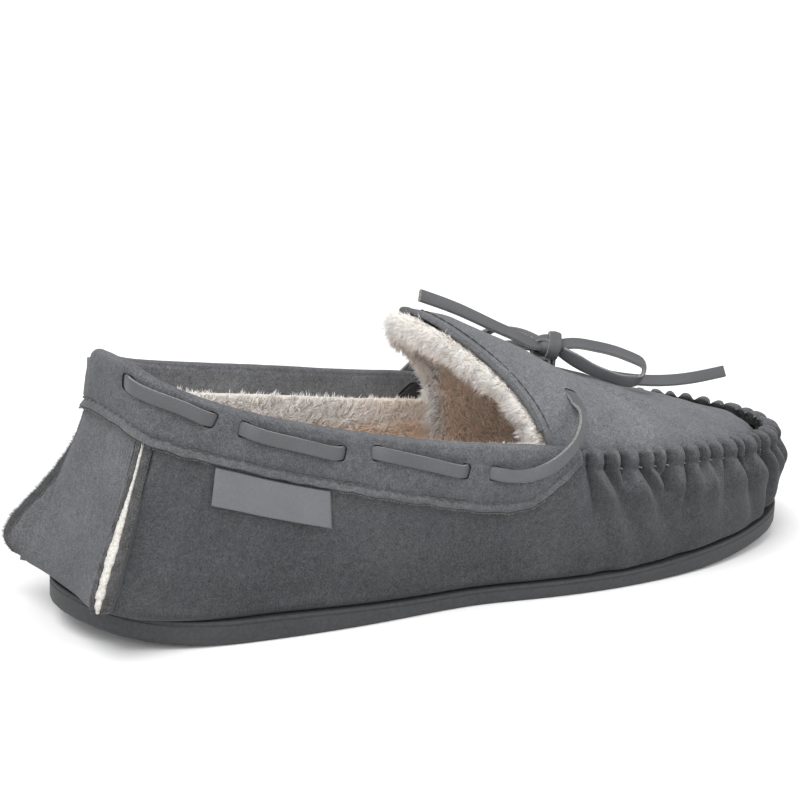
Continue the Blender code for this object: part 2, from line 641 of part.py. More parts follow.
def wall_columns(places, fractions, ridge):
    """Outer and inner columns of suede for places w, from the turned-in margin to the top."""
    drops = wall_top_drop(places)
    limits = t_at_drop(places, drops)
    ridge_start = t_at_drop(places, drops + RIDGE_DEPTH + 1.2)
    ridge_low = t_at_drop(places, drops + RIDGE_DEPTH)
    x = top_edge(places)[:, 0]
    swell = ridge * (RIDGE_THICKNESS - SUEDE) * smooth_step(COLLAR_END_X + 5.0, COLLAR_END_X + 10.0, x)
    rows_t = [ridge_start * f for f in fractions] + [ridge_start, ridge_low, limits]
    thickness = [SUEDE + 0 * swell] * (len(fractions) + 1) + [SUEDE + swell, SUEDE + swell]
    outer = [upper_point(places, t) for t in rows_t]
    inner = [upper_point(places, t, -d) for t, d in zip(rows_t, thickness)]
    margin_low = sole_edge(places, MARGIN_INSET)
    margin_low[:, 2] = sole_top(margin_low[:, 0]) + MARGIN_GAP
    margin_high = margin_low + np.array([0.0, 0.0, SUEDE])
    inner[0] = inner[0] + np.array([0.0, 0.0, SUEDE])
    return [margin_low] + outer, [margin_high] + inner


def suede_panel(name, places, fractions, seam_ends, ridge, material):
    """Suede panel over a stretch of the upper, with raised edges at its heel seams."""
    outer, inner = wall_columns(places, fractions, ridge)
    outer = np.stack(outer, axis=1)
    inner = np.stack(inner, axis=1)
    drops = wall_top_drop(places)
    for end, (w, leaf_side) in seam_ends.items():
        seam_w = np.array([w])
        low = t_at_drop(seam_w, drops[end] + RIDGE_DEPTH + 1.2)[0]
        rows = np.array([low * f for f in fractions] + [low] + [
            t_at_drop(seam_w, drops[end] + RIDGE_DEPTH)[0], t_at_drop(seam_w, drops[end])[0]])
        fin_outer, fin_inner = fin_columns(w, rows, leaf_side)
        margin = [outer[end, :1], inner[end, :1]]
        outer_columns = [np.concatenate([margin[0], c]) for c in fin_outer]
        inner_columns = [np.concatenate([margin[1], c]) for c in fin_inner]
        for column, shift in ((0, 0.9), (1, 0.5)):
            for rows_of in (outer_columns, inner_columns):
                rows_of[column][0] += shift * leaf_side * -seam_frame(w)[1]
        if end == 0:
            outer = np.concatenate([np.stack(outer_columns), outer])
            inner = np.concatenate([np.stack(inner_columns), inner])
        else:
            outer = np.concatenate([outer, np.stack(outer_columns[::-1])])
            inner = np.concatenate([inner, np.stack(inner_columns[::-1])])
    return sheet_solid(name, outer, inner, material)


def make_side_wall():
    """One piece of suede from the lateral heel seam round the toe to the medial heel seam."""
    places = columns_between(-HEEL_SEAM_W - HEEL_STEP, -2.0 + HEEL_SEAM_W + HEEL_STEP)
    material = make_material("side_wall", (0.115, 0.118, 0.125), 0.95)
    ends = {0: (-HEEL_SEAM_W, 1.0), -1: (HEEL_SEAM_W, 1.0)}
    suede_panel("side_wall", places, (0.0, 0.3, 0.6, 0.85), ends, 1.0, material)


def make_heel_panel():
    """Suede panel across the back of the heel, between the two raised seams."""
    places = columns_between(-HEEL_SEAM_W + HEEL_STEP, HEEL_SEAM_W - HEEL_STEP)
    material = make_material("heel_panel", (0.12, 0.123, 0.13), 0.95)
    ends = {0: (-HEEL_SEAM_W, -1.0), -1: (HEEL_SEAM_W, -1.0)}
    suede_panel("heel_panel", places, (0.0, 0.3, 0.6, 0.85), ends, 0.0, material)


def make_seam_interlinings():
    """White felt strips that show between the raised edges of the heel seams."""
    for name, w in (("heel_seam_felt_lateral", -HEEL_SEAM_W), ("heel_seam_felt_medial", HEEL_SEAM_W)):
        out, sideways = seam_frame(w)
        top = t_at_drop(np.array([w]), collar_depth(w) + 1.3)[0]
        rows = np.linspace(0.02, top, 9)
        seam = upper_point(np.full(len(rows), w), rows)
        half = 0.5 * INTERLINING * sideways
        outer = seam + (FIN_LENGTH + 0.9) * out
        inner = seam - 0.6 * out
        rings = np.stack([outer - half, outer + half, inner + half, inner - half], axis=1)
        rings_to_solid(name, rings, make_material(name, (0.8, 0.78, 0.72), 0.95))


def make_heel_counter():
    """Stiffener inside the heel, between the suede and the lining."""
    places = columns_between(-COUNTER_END_W, COUNTER_END_W)
    low = t_at_height(places, footbed_top(upper_point(places, 0.2)[:, 0]) + 1.0)
    high = t_at_drop(places, COLLAR_INNER_DEPTH + 4.0)
    rows = [low + (high - low) * f for f in (0.0, 0.33, 0.66, 1.0)]
    outer = np.stack([upper_point(places, t, -COUNTER_OFFSET) for t in rows], axis=1)
    inner = np.stack([upper_point(places, t, -COUNTER_OFFSET - COUNTER_THICKNESS) for t in rows], axis=1)
    sheet_solid("heel_counter", outer, inner, make_material("heel_counter", (0.5, 0.42, 0.3), 0.85))


def collar_profile(depth, inner_depth):
    """Cross-section of the folded collar as (offset, drop) pairs: outer leg, fold, inner leg and back."""
    centre = -0.5 * SUEDE
    outer_radius = 0.5 * SUEDE + GAP + COLLAR_LEG
    inner_radius = 0.5 * SUEDE + GAP
    angles = np.radians([0.0, 36.0, 72.0, 108.0, 144.0, 180.0])
    outside = [(centre + outer_radius * math.cos(a), outer_radius * (1 - math.sin(a))) for a in angles]
    inside = [(centre + inner_radius * math.cos(a), outer_radius - inner_radius * math.sin(a))
              for a in angles[::-1]]
    out = centre + outer_radius
    back = centre + inner_radius
    outer_leg = [(out, depth * 0.97), (out, 0.55 * depth + 0.45 * outer_radius)]
    return (outer_leg + outside + [(centre - outer_radius, inner_depth), (centre - inner_radius, inner_depth)]
            + inside + [(back, 0.55 * depth + 0.45 * outer_radius), (back, depth)])


def make_collar(lace_cutter):
    """Folded suede collar from the lateral junction round the heel to the medial one, with lace slits."""
    start = w_at_x(COLLAR_END_X, -1)
    finish = w_at_x(COLLAR_END_X, 1)
    tip = 0.075
    places = np.concatenate([np.linspace(start, start + tip, 7)[:-1], columns_between(start + tip, finish - tip),
                             np.linspace(finish - tip, finish, 7)[1:]])
    depths = collar_depth(places)
    x = top_edge(places)[:, 0]
    inner_depths = COLLAR_INNER_DEPTH + (3.6 - COLLAR_INNER_DEPTH) * smooth_step(-6.0, 8.0, x)
    rings = []
    for w, depth, inner_depth in zip(places, depths, inner_depths):
        profile = np.array(collar_profile(depth, inner_depth))
        spot = np.full(len(profile), w)
        rings.append(upper_point(spot, t_at_drop(spot, profile[:, 1]), profile[:, 0]))
    collar = rings_to_solid("collar", rings, make_material("collar", (0.125, 0.128, 0.135), 0.95))
    cut(collar, lace_cutter, "collar_slit_guide")


def make_apron(lace_cutter):
    """Suede apron over the instep, running back into the tongue."""
    angles = np.radians([0.0, 9.0, 20.0, 32.0, 45.0, 59.0, 73.0, 90.0])
    lateral = -np.linspace(JUNCTION[-1], 1.0, 20)
    medial = np.linspace(1.0, JUNCTION[1], 20)
    outer, inner = [], []
    for places in (lateral, medial):
        points = np.stack([apron_point(places, a) for a in angles], axis=1)
        normals = np.stack([apron_normal(places, a) for a in angles], axis=1)
        outer.append(points)
        inner.append(points - SUEDE * normals)
    material = make_material("apron", (0.15, 0.153, 0.16), 0.95)
    obj = two_sided_dome("apron", outer, inner, material)
    cut(obj, lace_cutter, "apron_slit_guide")
    x, y = CROWN_HOLE_HALF
    outline = np.array([(-x, -y), (x, -y), (x, y), (-x, y)]) + KNOT_CENTRE[:2]
    levels = (KNOT_CENTRE[2] - 14.0, KNOT_CENTRE[2])
    cut(obj, [[(*corner, z) for corner in outline] for z in levels], "crown_hole_guide")


def two_sided_dome(name, outer, inner, material):
    """Closed solid of two grids that share the toe column and the crown row, between outer and inner."""
    columns, rows = outer[0].shape[:2]
    points = []
    index = {}

    def vertex(face, side, i, j):
        if side == 1 and i == 0:
            side, i = 0, columns - 1
        if side == 1 and j == rows - 1:
            side, i = 0, columns - 1 - i
        key = (face, side, i, j)
        if key not in index:
            index[key] = len(points)
            points.append((outer if face == 0 else inner)[side][i, j])
        return index[key]

    faces = []
    for face in (0, 1):
        for side in (0, 1):
            for i in range(columns - 1):
                for j in range(rows - 1):
                    quad = [vertex(face, side, i, j), vertex(face, side, i + 1, j),
                            vertex(face, side, i + 1, j + 1), vertex(face, side, i, j + 1)]
                    faces.append(tuple(quad if face == 0 else quad[::-1]))
    for side in (0, 1):
        for i in range(columns - 1):
            faces.append((vertex(0, side, i, 0), vertex(1, side, i, 0),
                          vertex(1, side, i + 1, 0), vertex(0, side, i + 1, 0)))
    for side, i in ((0, 0), (1, columns - 1)):
        for j in range(rows - 1):
            faces.append((vertex(0, side, i, j), vertex(0, side, i, j + 1),
                          vertex(1, side, i, j + 1), vertex(1, side, i, j)))
    return make_object(name, points, faces, material)


def make_edge_roll():
    """Rolled suede edge along the back of the tongue."""
    sides = []
    for side in (-1, 1):
        angles = np.radians(np.linspace(15.0, 90.0, 12))
        w = np.full(len(angles), side * JUNCTION[side])
        edge = apron_point(w, angles) - 0.5 * SUEDE * apron_normal(w, angles)
        ahead = apron_point(w + side * 0.012, angles) - 0.5 * SUEDE * apron_normal(w + side * 0.012, angles)
        back = edge - ahead
        back /= np.linalg.norm(back, axis=1)[:, None]
        sides.append(edge + EDGE_ROLL_STAND * back)
    route = np.concatenate([sides[0], sides[1][::-1][1:]])
    cord("tongue_edge_roll", route, EDGE_ROLL_RADIUS, make_material("tongue_edge_roll", (0.1, 0.1, 0.11), 0.9))


def make_quarter_lining():
    """Faux-fur lining of the sides and the heel."""
    start = w_at_x(JUNCTION_X - 3.0, -1)
    finish = w_at_x(JUNCTION_X - 3.0, 1)
    places = columns_between(start, finish)
    low = t_at_height(places, footbed_top(upper_point(places, 0.2)[:, 0]) + 0.6)
    high = t_at_drop(places, 9.5)
    ends = smooth_step(0.0, 0.06, places - start) * smooth_step(0.0, 0.06, finish - places)
    outer, inner = [], []
    for f, pile in ((0.0, 0.75), (0.25, 1.0), (0.6, 1.0), (0.88, 0.8), (1.0, 0.35)):
        t = low + (high - low) * f
        outer.append(upper_point(places, t, -LINING_OFFSET))
        inner.append(upper_point(places, t, -(LINING_OFFSET + LINING_PILE * pile * (0.4 + 0.6 * ends))))
    sheet_solid("quarter_lining", np.stack(outer, axis=1), np.stack(inner, axis=1),
                make_material("quarter_lining", (0.75, 0.7, 0.64), 1.0))


def make_vamp_lining():
    """Faux-fur lining under the apron and inside the toe."""
    below = SUEDE + 2 * LACE_CLEARANCE + LACE_THICKNESS + 0.7
    outer, inner = [], []
    for side in (-1, 1):
        places = side * np.linspace(JUNCTION[side] + 0.003, 1.0, 18)
        low = t_at_height(places, footbed_top(upper_point(places, 0.3, -8.0)[:, 0]) + 0.6)
        outer_wall = [upper_point(places, low + (0.72 - low) * f, -LINING_OFFSET - 1.3 * f ** 2)
                      for f in (0.0, 0.45, 1.0)]
        outer_top = [apron_point(places, a) - below * apron_normal(places, a)
                     for a in np.radians([24.0, 40.0, 57.0, 74.0, 90.0])]
        inner_wall = [upper_point(places, low + (0.6 - low) * f, -(LINING_OFFSET + LINING_PILE))
                      for f in (0.0, 0.45, 1.0)]
        inner_top = [apron_point(places, a) - (below + LINING_PILE) * apron_normal(places, a)
                     for a in np.radians([42.0, 51.0, 63.0, 76.0, 90.0])]
        outer_grid = np.stack(outer_wall + outer_top, axis=1)
        inner_grid = np.stack(inner_wall + inner_top, axis=1)
        if side > 0:
            outer_grid = outer_grid[::-1]
            inner_grid = inner_grid[::-1]
        outer.append(outer_grid)
        inner.append(inner_grid)
    two_sided_dome("vamp_lining", outer, inner, make_material("vamp_lining", (0.75, 0.7, 0.64), 1.0))


# ---- Lace ----------------------------------------------------------------------------------------------------------
def side_lace_route(side):
    """Route of the lace on one side, from the heel to the knot: points and the directions its face has."""
    places, drops, offsets = [], [], []
    for w, drop, offset in HEEL_LACE_W[side]:
        places.append(side * w)
        drops.append(drop)
        offsets.append(offset)
    for x, drop, offset in SIDE_LACE_X:
        places.append(w_at_x(x, side))
        drops.append(drop)
        offsets.append(offset)
    places = np.array(places)
    points = list(upper_point(places, t_at_drop(places, drops), offsets))
    normals = list(upper_normal(places))
    for x, y, z in FREE_LACE:
        point = np.array([x, y, z])
        if side > 0:
            point = np.array([x, -y, z]) - MEDIAL_FREE_SHIFT * np.array([0.0, 1.0, -1.0])
        points.append(point)
        normals.append(np.array([0.25, side * 0.9, 0.35]))
    for x, angle, depth in APRON_LACE:
        turn = math.radians(angle)
        spot = apron_w_at_x(x, turn, side)
        normal = apron_normal(spot, turn)[0]
        points.append(apron_point(spot, turn)[0] + depth * normal)
        normals.append(normal)
    rise_x = KNOT_CENTRE[0] + 1.5 * side
    crown = float(SPINE_CURVE([rise_x])[0, 0])
    for z, lean in ((crown - 1.0, 0.7), (crown + 1.4, 1.0), (KNOT_CENTRE[2] - KNOT_HALF[2] - 0.45, 1.0)):
        points.append(np.array([rise_x, side * 1.2 * (1.4 - lean) - 0.6, z]))
        normals.append(np.array([side * lean, 0.0, 1.0 - lean]))
    return points, normals


def lace_route():
    """Points and face directions of the whole lace, from the lateral strand at the knot to the medial one."""
    lateral_points, lateral_normals = side_lace_route(-1)
    medial_points, medial_normals = side_lace_route(1)
    points = np.array(lateral_points[::-1] + medial_points[1:])
    normals = np.array(lateral_normals[::-1] + medial_normals[1:])
    lengths = chord_lengths(points)
    count = int(lengths[-1] / LACE_RING_STEP)
    places = np.linspace(0.0, lengths[-1], count)
    route = cubic_spline(lengths, points)(places)
    faces = np.stack([np.interp(places, lengths, normals[:, k]) for k in range(3)], axis=1)
    return route, faces / np.linalg.norm(faces, axis=1)[:, None]


def make_knot():
    """Knot of the bow, as one rounded body."""
    rings = []
    for latitude in np.radians(np.linspace(-78.0, 78.0, 8)):
        ring = []
        for turn in np.linspace(0.0, 2 * math.pi, 13)[:-1]:
            direction = np.array([math.sin(latitude), math.cos(latitude) * math.cos(turn),
                                  math.cos(latitude) * math.sin(turn)])
            ring.append(KNOT_CENTRE + KNOT_HALF * direction)
        rings.append(ring)
    rings_to_solid("lace_knot", rings, make_material("lace_knot", (0.16, 0.165, 0.175), 0.6))


def make_bow():
    """Two loops and two free ends of the bow as plain cords."""
    for name, route in (("bow_loop_lateral", NEAR_LOOP), ("bow_loop_medial", FAR_LOOP),
                        ("lace_end_front", FRONT_TAIL), ("lace_end_rear", REAR_TAIL)):
        cord(name, smooth_route(route, TAIL_STEP), FREE_LACE_RADIUS,
             make_material(name, (0.17, 0.175, 0.185), 0.6))


def make_label():
    """Plain leather tab that hangs from under the collar's edge, on its hinge line."""
    places = np.linspace(w_at_x(LABEL_REAR_X, -1), w_at_x(LABEL_FRONT_X, -1), 8)
    top = collar_depth(places) + LABEL_GAP_TO_COLLAR
    outer, inner = [], []
    for f in (0.0, 0.5, 1.0):
        t = t_at_drop(places, top + LABEL_HEIGHT * f)
        stand = 0.5 + 0.7 * f
        outer.append(upper_point(places, t, stand + LABEL_THICKNESS))
        inner.append(upper_point(places, t, stand))
    label = sheet_solid("label", np.stack(outer, axis=1), np.stack(inner, axis=1),
                        make_material("label", (0.17, 0.175, 0.185), 0.5))
    origin = Vector((0.5 * (outer[0][0] + inner[0][0]) + FRAME_SHIFT) * MM)
    label.data.transform(Matrix.Translation(-origin))
    label.location = origin


def clear_scene():
    """Remove the objects of the start-up scene."""
    for obj in list(bpy.data.objects):
        bpy.data.objects.remove(obj, do_unlink=True)


def main():
    """Build every piece of the slipper."""
    clear_scene()
    route, faces = lace_route()
    clearance = 2 * LACE_CLEARANCE
    cutter = ribbon_rings(route, faces, LACE_WIDTH + clearance, LACE_THICKNESS + clearance)
    make_outsole()
    make_footbed()
    make_side_wall()
    make_heel_panel()
    make_seam_interlinings()
    make_heel_counter()
    make_collar(cutter)
    make_apron(cutter)
    make_edge_roll()
    make_quarter_lining()
    make_vamp_lining()
    rings_to_solid("lace", ribbon_rings(route, faces, LACE_WIDTH, LACE_THICKNESS),
                   make_material("lace", (0.17, 0.175, 0.185), 0.6))
    make_knot()
    make_bow()
    make_label()


main()
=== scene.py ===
"""Looks of the moccasin house slipper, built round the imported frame.

The upper, the lace and the soles repeat the design's own curves at a finer grain. Lengths are in millimetres
in the slipper's own frame until a mesh is made, which moves them by SHIFT and turns them into metres.
"""
import math

import bmesh
import bpy
import numpy as np
from mathutils import Matrix, Vector
from mathutils.kdtree import KDTree


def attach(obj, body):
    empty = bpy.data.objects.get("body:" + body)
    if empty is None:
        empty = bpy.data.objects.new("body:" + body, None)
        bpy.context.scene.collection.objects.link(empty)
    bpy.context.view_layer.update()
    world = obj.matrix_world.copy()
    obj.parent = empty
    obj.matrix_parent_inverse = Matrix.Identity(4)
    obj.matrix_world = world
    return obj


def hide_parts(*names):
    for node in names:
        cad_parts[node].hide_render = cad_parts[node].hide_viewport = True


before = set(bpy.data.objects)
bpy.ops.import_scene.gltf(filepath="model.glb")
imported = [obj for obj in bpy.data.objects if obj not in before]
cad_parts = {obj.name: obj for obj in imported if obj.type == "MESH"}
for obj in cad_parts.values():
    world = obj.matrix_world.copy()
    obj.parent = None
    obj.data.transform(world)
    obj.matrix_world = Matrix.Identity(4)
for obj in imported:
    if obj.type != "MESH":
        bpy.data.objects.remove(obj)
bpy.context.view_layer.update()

MM = 0.001
SHIFT = np.array([2.2, 0.9, 0.0])
BODY = "slipper"
GAP = 0.3
MARGIN_GAP = 0.45

# ---- The design's driving sizes ----
SOLE_HEEL_THICKNESS, SOLE_WAIST_THICKNESS, SOLE_FORE_THICKNESS = 7.6, 5.4, 6.9
HEEL_LIFT, HEEL_LIFT_START = 6.8, -95.0
TOE_SPRING, TOE_SPRING_START = 6.5, 50.0
HEEL_END, TOE_END = -142.5, 142.5
TREAD_DEPTH, TREAD_WIDTH = 1.2, 2.4
TREAD_GROOVES = (-112.0, -98.0, -84.0, -70.0, 8.0, 22.0, 36.0, 52.0, 68.0, 84.0, 100.0)
SUEDE = 1.6
COLLAR_LEG = 1.4
RIDGE_THICKNESS = 3.3
MARGIN_INSET = 7.0
TUNNEL_DROP, TUNNEL_DROP_FRONT = 11.6, 2.3   # the wall's end below the top edge: at the collar, at its front
COLLAR_INNER_DEPTH, COLLAR_INNER_DEPTH_FRONT = 13.0, 3.6
HEEL_SEAM_W = 0.08
LINING_OFFSET = 4.1
FOOTBED_HEIGHT = 9.4                         # top of the plush above the turned-in margin
FOOTBED_INSET = 4.0
LACE_WIDTH, LACE_THICKNESS, LACE_CLEARANCE = 4.2, 1.5, 0.35
LABEL_REAR_X, LABEL_FRONT_X = -102.0, -68.5
LABEL_TUCK = 0.60                            # how far the label's top is below the collar's edge
LABEL_HEIGHT, LABEL_THICKNESS, LABEL_GAP_TO_COLLAR = 10.8, 1.1, 1.1

# Sole edge (x, half-width), from the heel to just short of the toe.
LATERAL_SOLE = [(-142.5, 0.0), (-139.5, 14.0), (-132.0, 24.5), (-120.0, 31.0), (-104.0, 35.2),
                (-73.0, 39.2), (-42.0, 40.4), (-14.0, 41.2), (9.0, 45.6), (28.0, 48.3),
                (53.0, 49.1), (82.0, 46.2), (106.0, 39.2), (127.0, 27.3), (137.5, 13.5)]
MEDIAL_SOLE = [(-142.5, 0.0), (-139.5, 14.0), (-132.0, 24.5), (-120.0, 30.8), (-104.0, 34.4),
               (-73.0, 33.3), (-42.0, 33.2), (-14.0, 34.2), (9.0, 37.5), (28.0, 41.9),
               (53.0, 46.4), (82.0, 47.1), (106.0, 41.8), (129.0, 32.5), (139.5, 18.5)]
TOE_SOLE = (142.5, 4.0)
# Shift of the upper's foot from the sole edge (x, outward y), from the heel's middle along either side.
HEEL_FLARE = [(-0.8, 0.0), (-4.0, 1.0), (-11.0, 4.0), (-8.0, 2.2), (-1.6, -0.6)]
FEATHER_INSET = 1.0
# Top edge of the upper (x, half-width, height).
LATERAL_TOP = [(-125.5, 0.0, 85.3), (-125.0, 12.0, 84.9), (-121.0, 21.5, 82.0), (-111.5, 26.3, 77.4),
               (-96.0, 30.2, 71.7), (-71.0, 33.8, 64.9), (-42.0, 36.9, 58.7), (-14.0, 39.7, 54.2),
               (10.0, 42.2, 51.2), (27.0, 44.5, 48.5), (53.0, 45.8, 46.6), (81.0, 43.2, 44.9),
               (103.5, 36.8, 43.1), (123.0, 25.6, 41.4), (133.0, 13.0, 40.2)]
MEDIAL_TOP = [(-125.5, 0.0, 85.3), (-124.7, 10.8, 84.7), (-119.6, 19.9, 81.9), (-111.0, 25.3, 78.1),
              (-96.0, 29.3, 74.6), (-71.0, 31.6, 70.8), (-42.0, 34.0, 66.4), (-14.0, 36.8, 62.0),
              (10.0, 38.8, 58.4), (27.0, 40.6, 53.6), (53.0, 43.6, 48.6), (81.0, 43.9, 45.6),
              (103.5, 38.6, 43.4), (125.0, 29.6, 41.2), (134.8, 17.0, 40.0)]
TOE_TOP = (138.0, 3.0, 39.6)
# Control point of each section: how far it is moved outward, and at which share of the height.
BULGE = [-6.0, -6.0, -5.5, -3.0, -0.5, 1.0, 1.5, 2.0, 2.5, 3.5, 5.0, 6.0, 6.0, 6.0, 6.0]
BULGE_HEIGHT = [0.68, 0.68, 0.66, 0.60, 0.50, 0.40, 0.40, 0.40, 0.40, 0.42, 0.45, 0.45, 0.45, 0.45, 0.45]
TOE_BULGE, TOE_BULGE_HEIGHT = 6.0, 0.45
COLLAR_DEPTH_X = [-130.0, -95.0, -60.0, -20.0, -5.0, 4.0, 10.0, 16.0, 21.5]
COLLAR_DEPTH = [18.5, 17.8, 19.2, 22.0, 22.0, 20.2, 15.6, 10.5, 4.6]
COLLAR_END_X = 21.5
JUNCTION_X = 12.4
APRON_EDGE_DROP, APRON_EDGE_OFFSET = 5.5, 3.6
SPINE_START_X, SPINE_END_X = -16.5, 118.0
SPINE_Y_AT_TOE, SPINE_SPREAD = 2.5, 1.35
# Crown line of the apron (x, height).
SPINE = [(-16.5, 90.5), (-3.6, 86.8), (13.0, 80.0), (27.0, 73.0), (40.7, 66.0), (55.5, 61.3),
         (70.0, 56.3), (85.0, 51.4), (103.0, 45.8), (118.0, 41.8)]
ARCH_POWER_REAR, ARCH_POWER_FRONT = 1.12, 1.6

# ---- Lace and bow routes ----
# Stands: how far the lace's middle is outside the upper's outer face, on the collar and inside the suede.
LACE_OUT = GAP + COLLAR_LEG + LACE_CLEARANCE + 0.5 * LACE_THICKNESS
LACE_IN = -0.5 * SUEDE
# Lace on one side as (w or x, depth below the top edge, stand).
HEEL_LACE_W = {-1: [(0.0, 5.3, LACE_IN), (0.028, 5.2, LACE_IN), (0.058, 4.6, LACE_OUT)],
               1: [(0.0, 5.3, LACE_IN), (0.05, 5.2, LACE_IN), (0.077, 4.6, LACE_OUT)]}
SIDE_LACE_X = [(-122.0, 4.2, LACE_OUT), (-114.0, 4.2, LACE_OUT), (-107.5, 4.9, LACE_OUT),
               (-102.0, 5.2, LACE_IN), (-99.0, 5.2, LACE_IN), (-94.0, 5.4, LACE_OUT),
               (-84.0, 6.1, LACE_OUT), (-74.0, 6.8, LACE_OUT), (-67.5, 7.2, LACE_OUT),
               (-62.0, 6.8, LACE_IN), (-57.0, 6.0, LACE_IN), (-51.0, 5.6, LACE_OUT),
               (-41.0, 6.6, LACE_OUT), (-31.0, 7.9, LACE_OUT), (-24.0, 8.8, LACE_OUT),
               (-18.5, 9.0, LACE_IN), (-15.0, 9.0, LACE_IN), (-9.0, 9.4, LACE_OUT)]
# Free lace between the collar and the apron (x, y, z), then in the apron as (x, angle over the arch, stand).
FREE_LACE = [(-2.0, -45.9, 43.6), (4.5, -48.2, 45.2), (10.5, -49.2, 48.6), (16.0, -48.6, 52.8),
             (20.5, -45.6, 56.6), (23.8, -41.0, 59.6)]
MEDIAL_FREE_SHIFT = np.array([0.0, -3.6, 7.2])   # how far the free lace differs on the medial side
APRON_LACE = [(25.3, 32.0, 1.3), (26.2, 40.0, -0.5), (27.5, 48.0, -2.75), (31.0, 60.0, -2.75),
              (34.5, 71.0, -2.75), (37.0, 79.0, -2.75)]
FREE_STAND = 9.0                             # stand of the lace where it touches nothing
KNOT_TUCK = 0.45                             # how near the knot's middle the bow's ends start
CROWN_HOLE_HALF = (3.8, 4.0)                 # half the size of the hole in the apron under the knot
KNOT_CENTRE = np.array([39.7, -1.5, 73.3])
KNOT_HALF = np.array([5.8, 5.0, 3.8])
NEAR_LOOP = [(46.9, -4.6, 74.2), (52.3, -8.0, 73.6), (61.1, -10.0, 71.3), (69.0, -11.0, 68.2),
             (73.6, -12.0, 64.6), (72.0, -12.0, 60.9), (67.0, -11.2, 60.2), (58.6, -10.0, 62.8),
             (51.5, -8.6, 66.0), (46.6, -7.4, 69.0)]
FAR_LOOP = [(37.0, 5.6, 75.6), (35.0, 12.0, 76.6), (33.0, 19.0, 76.0), (31.6, 25.0, 73.6),
            (31.4, 28.0, 70.6), (33.0, 26.6, 68.6), (35.6, 20.5, 69.8), (38.0, 12.6, 70.6),
            (40.0, 6.2, 71.0)]
FRONT_TAIL = [(46.2, -1.4, 69.0), (54.0, -1.9, 64.6), (64.8, -2.0, 60.6), (81.5, -3.0, 57.2),
              (101.4, -5.0, 56.5), (114.9, -8.0, 58.4)]
REAR_TAIL = [(32.2, -0.9, 74.6), (26.0, 0.0, 77.6), (19.6, 1.0, 80.6), (4.1, 3.0, 87.9),
             (-11.7, 4.0, 94.0)]

# ---- Sizes of the looks ----
FIN_LENGTH = 4.4
FIN_LEAF = {1: 3.1, -1: 1.75}                # thickness of a raised seam edge: side wall's, heel panel's
FIN_BLEND_W = {1: 0.027, -1: 0.013}          # how far the suede takes to turn out, by leaf
FIN_ROOT = {1: (1.6, 0.35), -1: (1.3, 0.3)}  # the turn's greatest stand and its share of the edge's, by leaf
FIN_BLEND_COLUMNS = 9
FAR_FIN_EXTRA = 4.2                          # how much further the medial seam stands out low down
HEEL_LEAF_BACK = 4.8                         # how far the heel panel's leaf stays behind at that seam
# Half the gap that the felt fills in a heel seam, by share of the height.
SEAM_GAP_HEIGHTS = [0.0, 0.1, 0.35, 0.55, 0.72, 1.0]
SEAM_GAP_HALVES = [0.3, 1.5, 1.25, 0.55, 0.5, 1.45]
WALL_ROWS = 78
PLEAT_PITCH, PLEAT_WIDTH = 6.6, 1.5
PINCH_DROP = 6.4                             # depth of the line that draws the tucks in
STITCH_RISE = 2.9                            # the collar's stitch line above its lower edge
EDGE_ROLL_RADIUS, EDGE_ROLL_STAND = 0.8, 0.75
FUR_SHADE_COUNT = 9
FUZZ_TONES = (0.13, 0.22, 0.34, 0.58)
RIM_LOW_ANGLE = 6.0                          # degrees over the arch where the rim starts
RIM_DEPTH = 8.6                              # how deep the rim of pile is below the tongue's outer face
SIDE_BLADES, VAMP_BLADES, RIM_BLADES, FOOTBED_BLADES = 20000, 20000, 19000, 18000
FRINGE_TRIES, FUZZ_PER_LEAF, FUZZ_AT_COLLAR = 2200, 1500, 5200
UP, AHEAD = np.array([0.0, 0.0, 1.0]), np.array([1.0, 0.0, 0.0])

# ---- Camera ----
CAMERA_TARGET = Vector((-0.0048, 0.0217, 0.0538))
CAMERA_AZIMUTH, CAMERA_ELEVATION, CAMERA_ROLL = 33.294, 14.084, 2.113
CAMERA_DISTANCE = 0.687
CAMERA_LENS, CAMERA_SENSOR = 89.73, 36.0


# ---- Curves and small helpers ----
def cubic_spline(knots, values, period=None):
    """Cubic spline through values at knots; periodic when a period is given, else natural at its ends."""
    knots = np.asarray(knots, float)
    values = np.asarray(values, float)
    if period is not None:
        knots = np.append(knots, knots[0] + period)
        values = np.vstack([values, values[:1]])
    count = len(knots)
    width = np.diff(knots)
    slope = np.diff(values, axis=0) / width[:, None]
    matrix = np.eye(count)
    right = np.zeros_like(values)
    for i in range(1, count - 1):
        matrix[i, i - 1:i + 2] = width[i - 1], 2 * (width[i - 1] + width[i]), width[i]
        right[i] = 6 * (slope[i] - slope[i - 1])
    if period is not None:
        matrix[0, :2] = 2 * width[0], width[0]
        matrix[0, -2:] = width[-1], 2 * width[-1]
        right[0] = 6 * (slope[0] - slope[-1])
        matrix[-1, 0] = -1.0
    bend = np.linalg.solve(matrix, right)

    def evaluate(place):
        place = np.atleast_1d(np.asarray(place, float))
        if period is not None:
            place = (place - knots[0]) % period + knots[0]
        i = np.clip(np.searchsorted(knots, place, side="right") - 1, 0, count - 2)
        h = width[i][:, None]
        a = (knots[i + 1] - place)[:, None]
        b = (place - knots[i])[:, None]
        cubic = (bend[i] * a ** 3 + bend[i + 1] * b ** 3) / (6 * h)
        line = (values[i] / h - bend[i] * h / 6) * a + (values[i + 1] / h - bend[i + 1] * h / 6) * b
        return cubic + line

    return evaluate


def unit(vectors):
    """Vectors along the last axis, scaled to length 1."""
    return vectors / np.maximum(np.linalg.norm(vectors, axis=-1, keepdims=True), 1e-12)


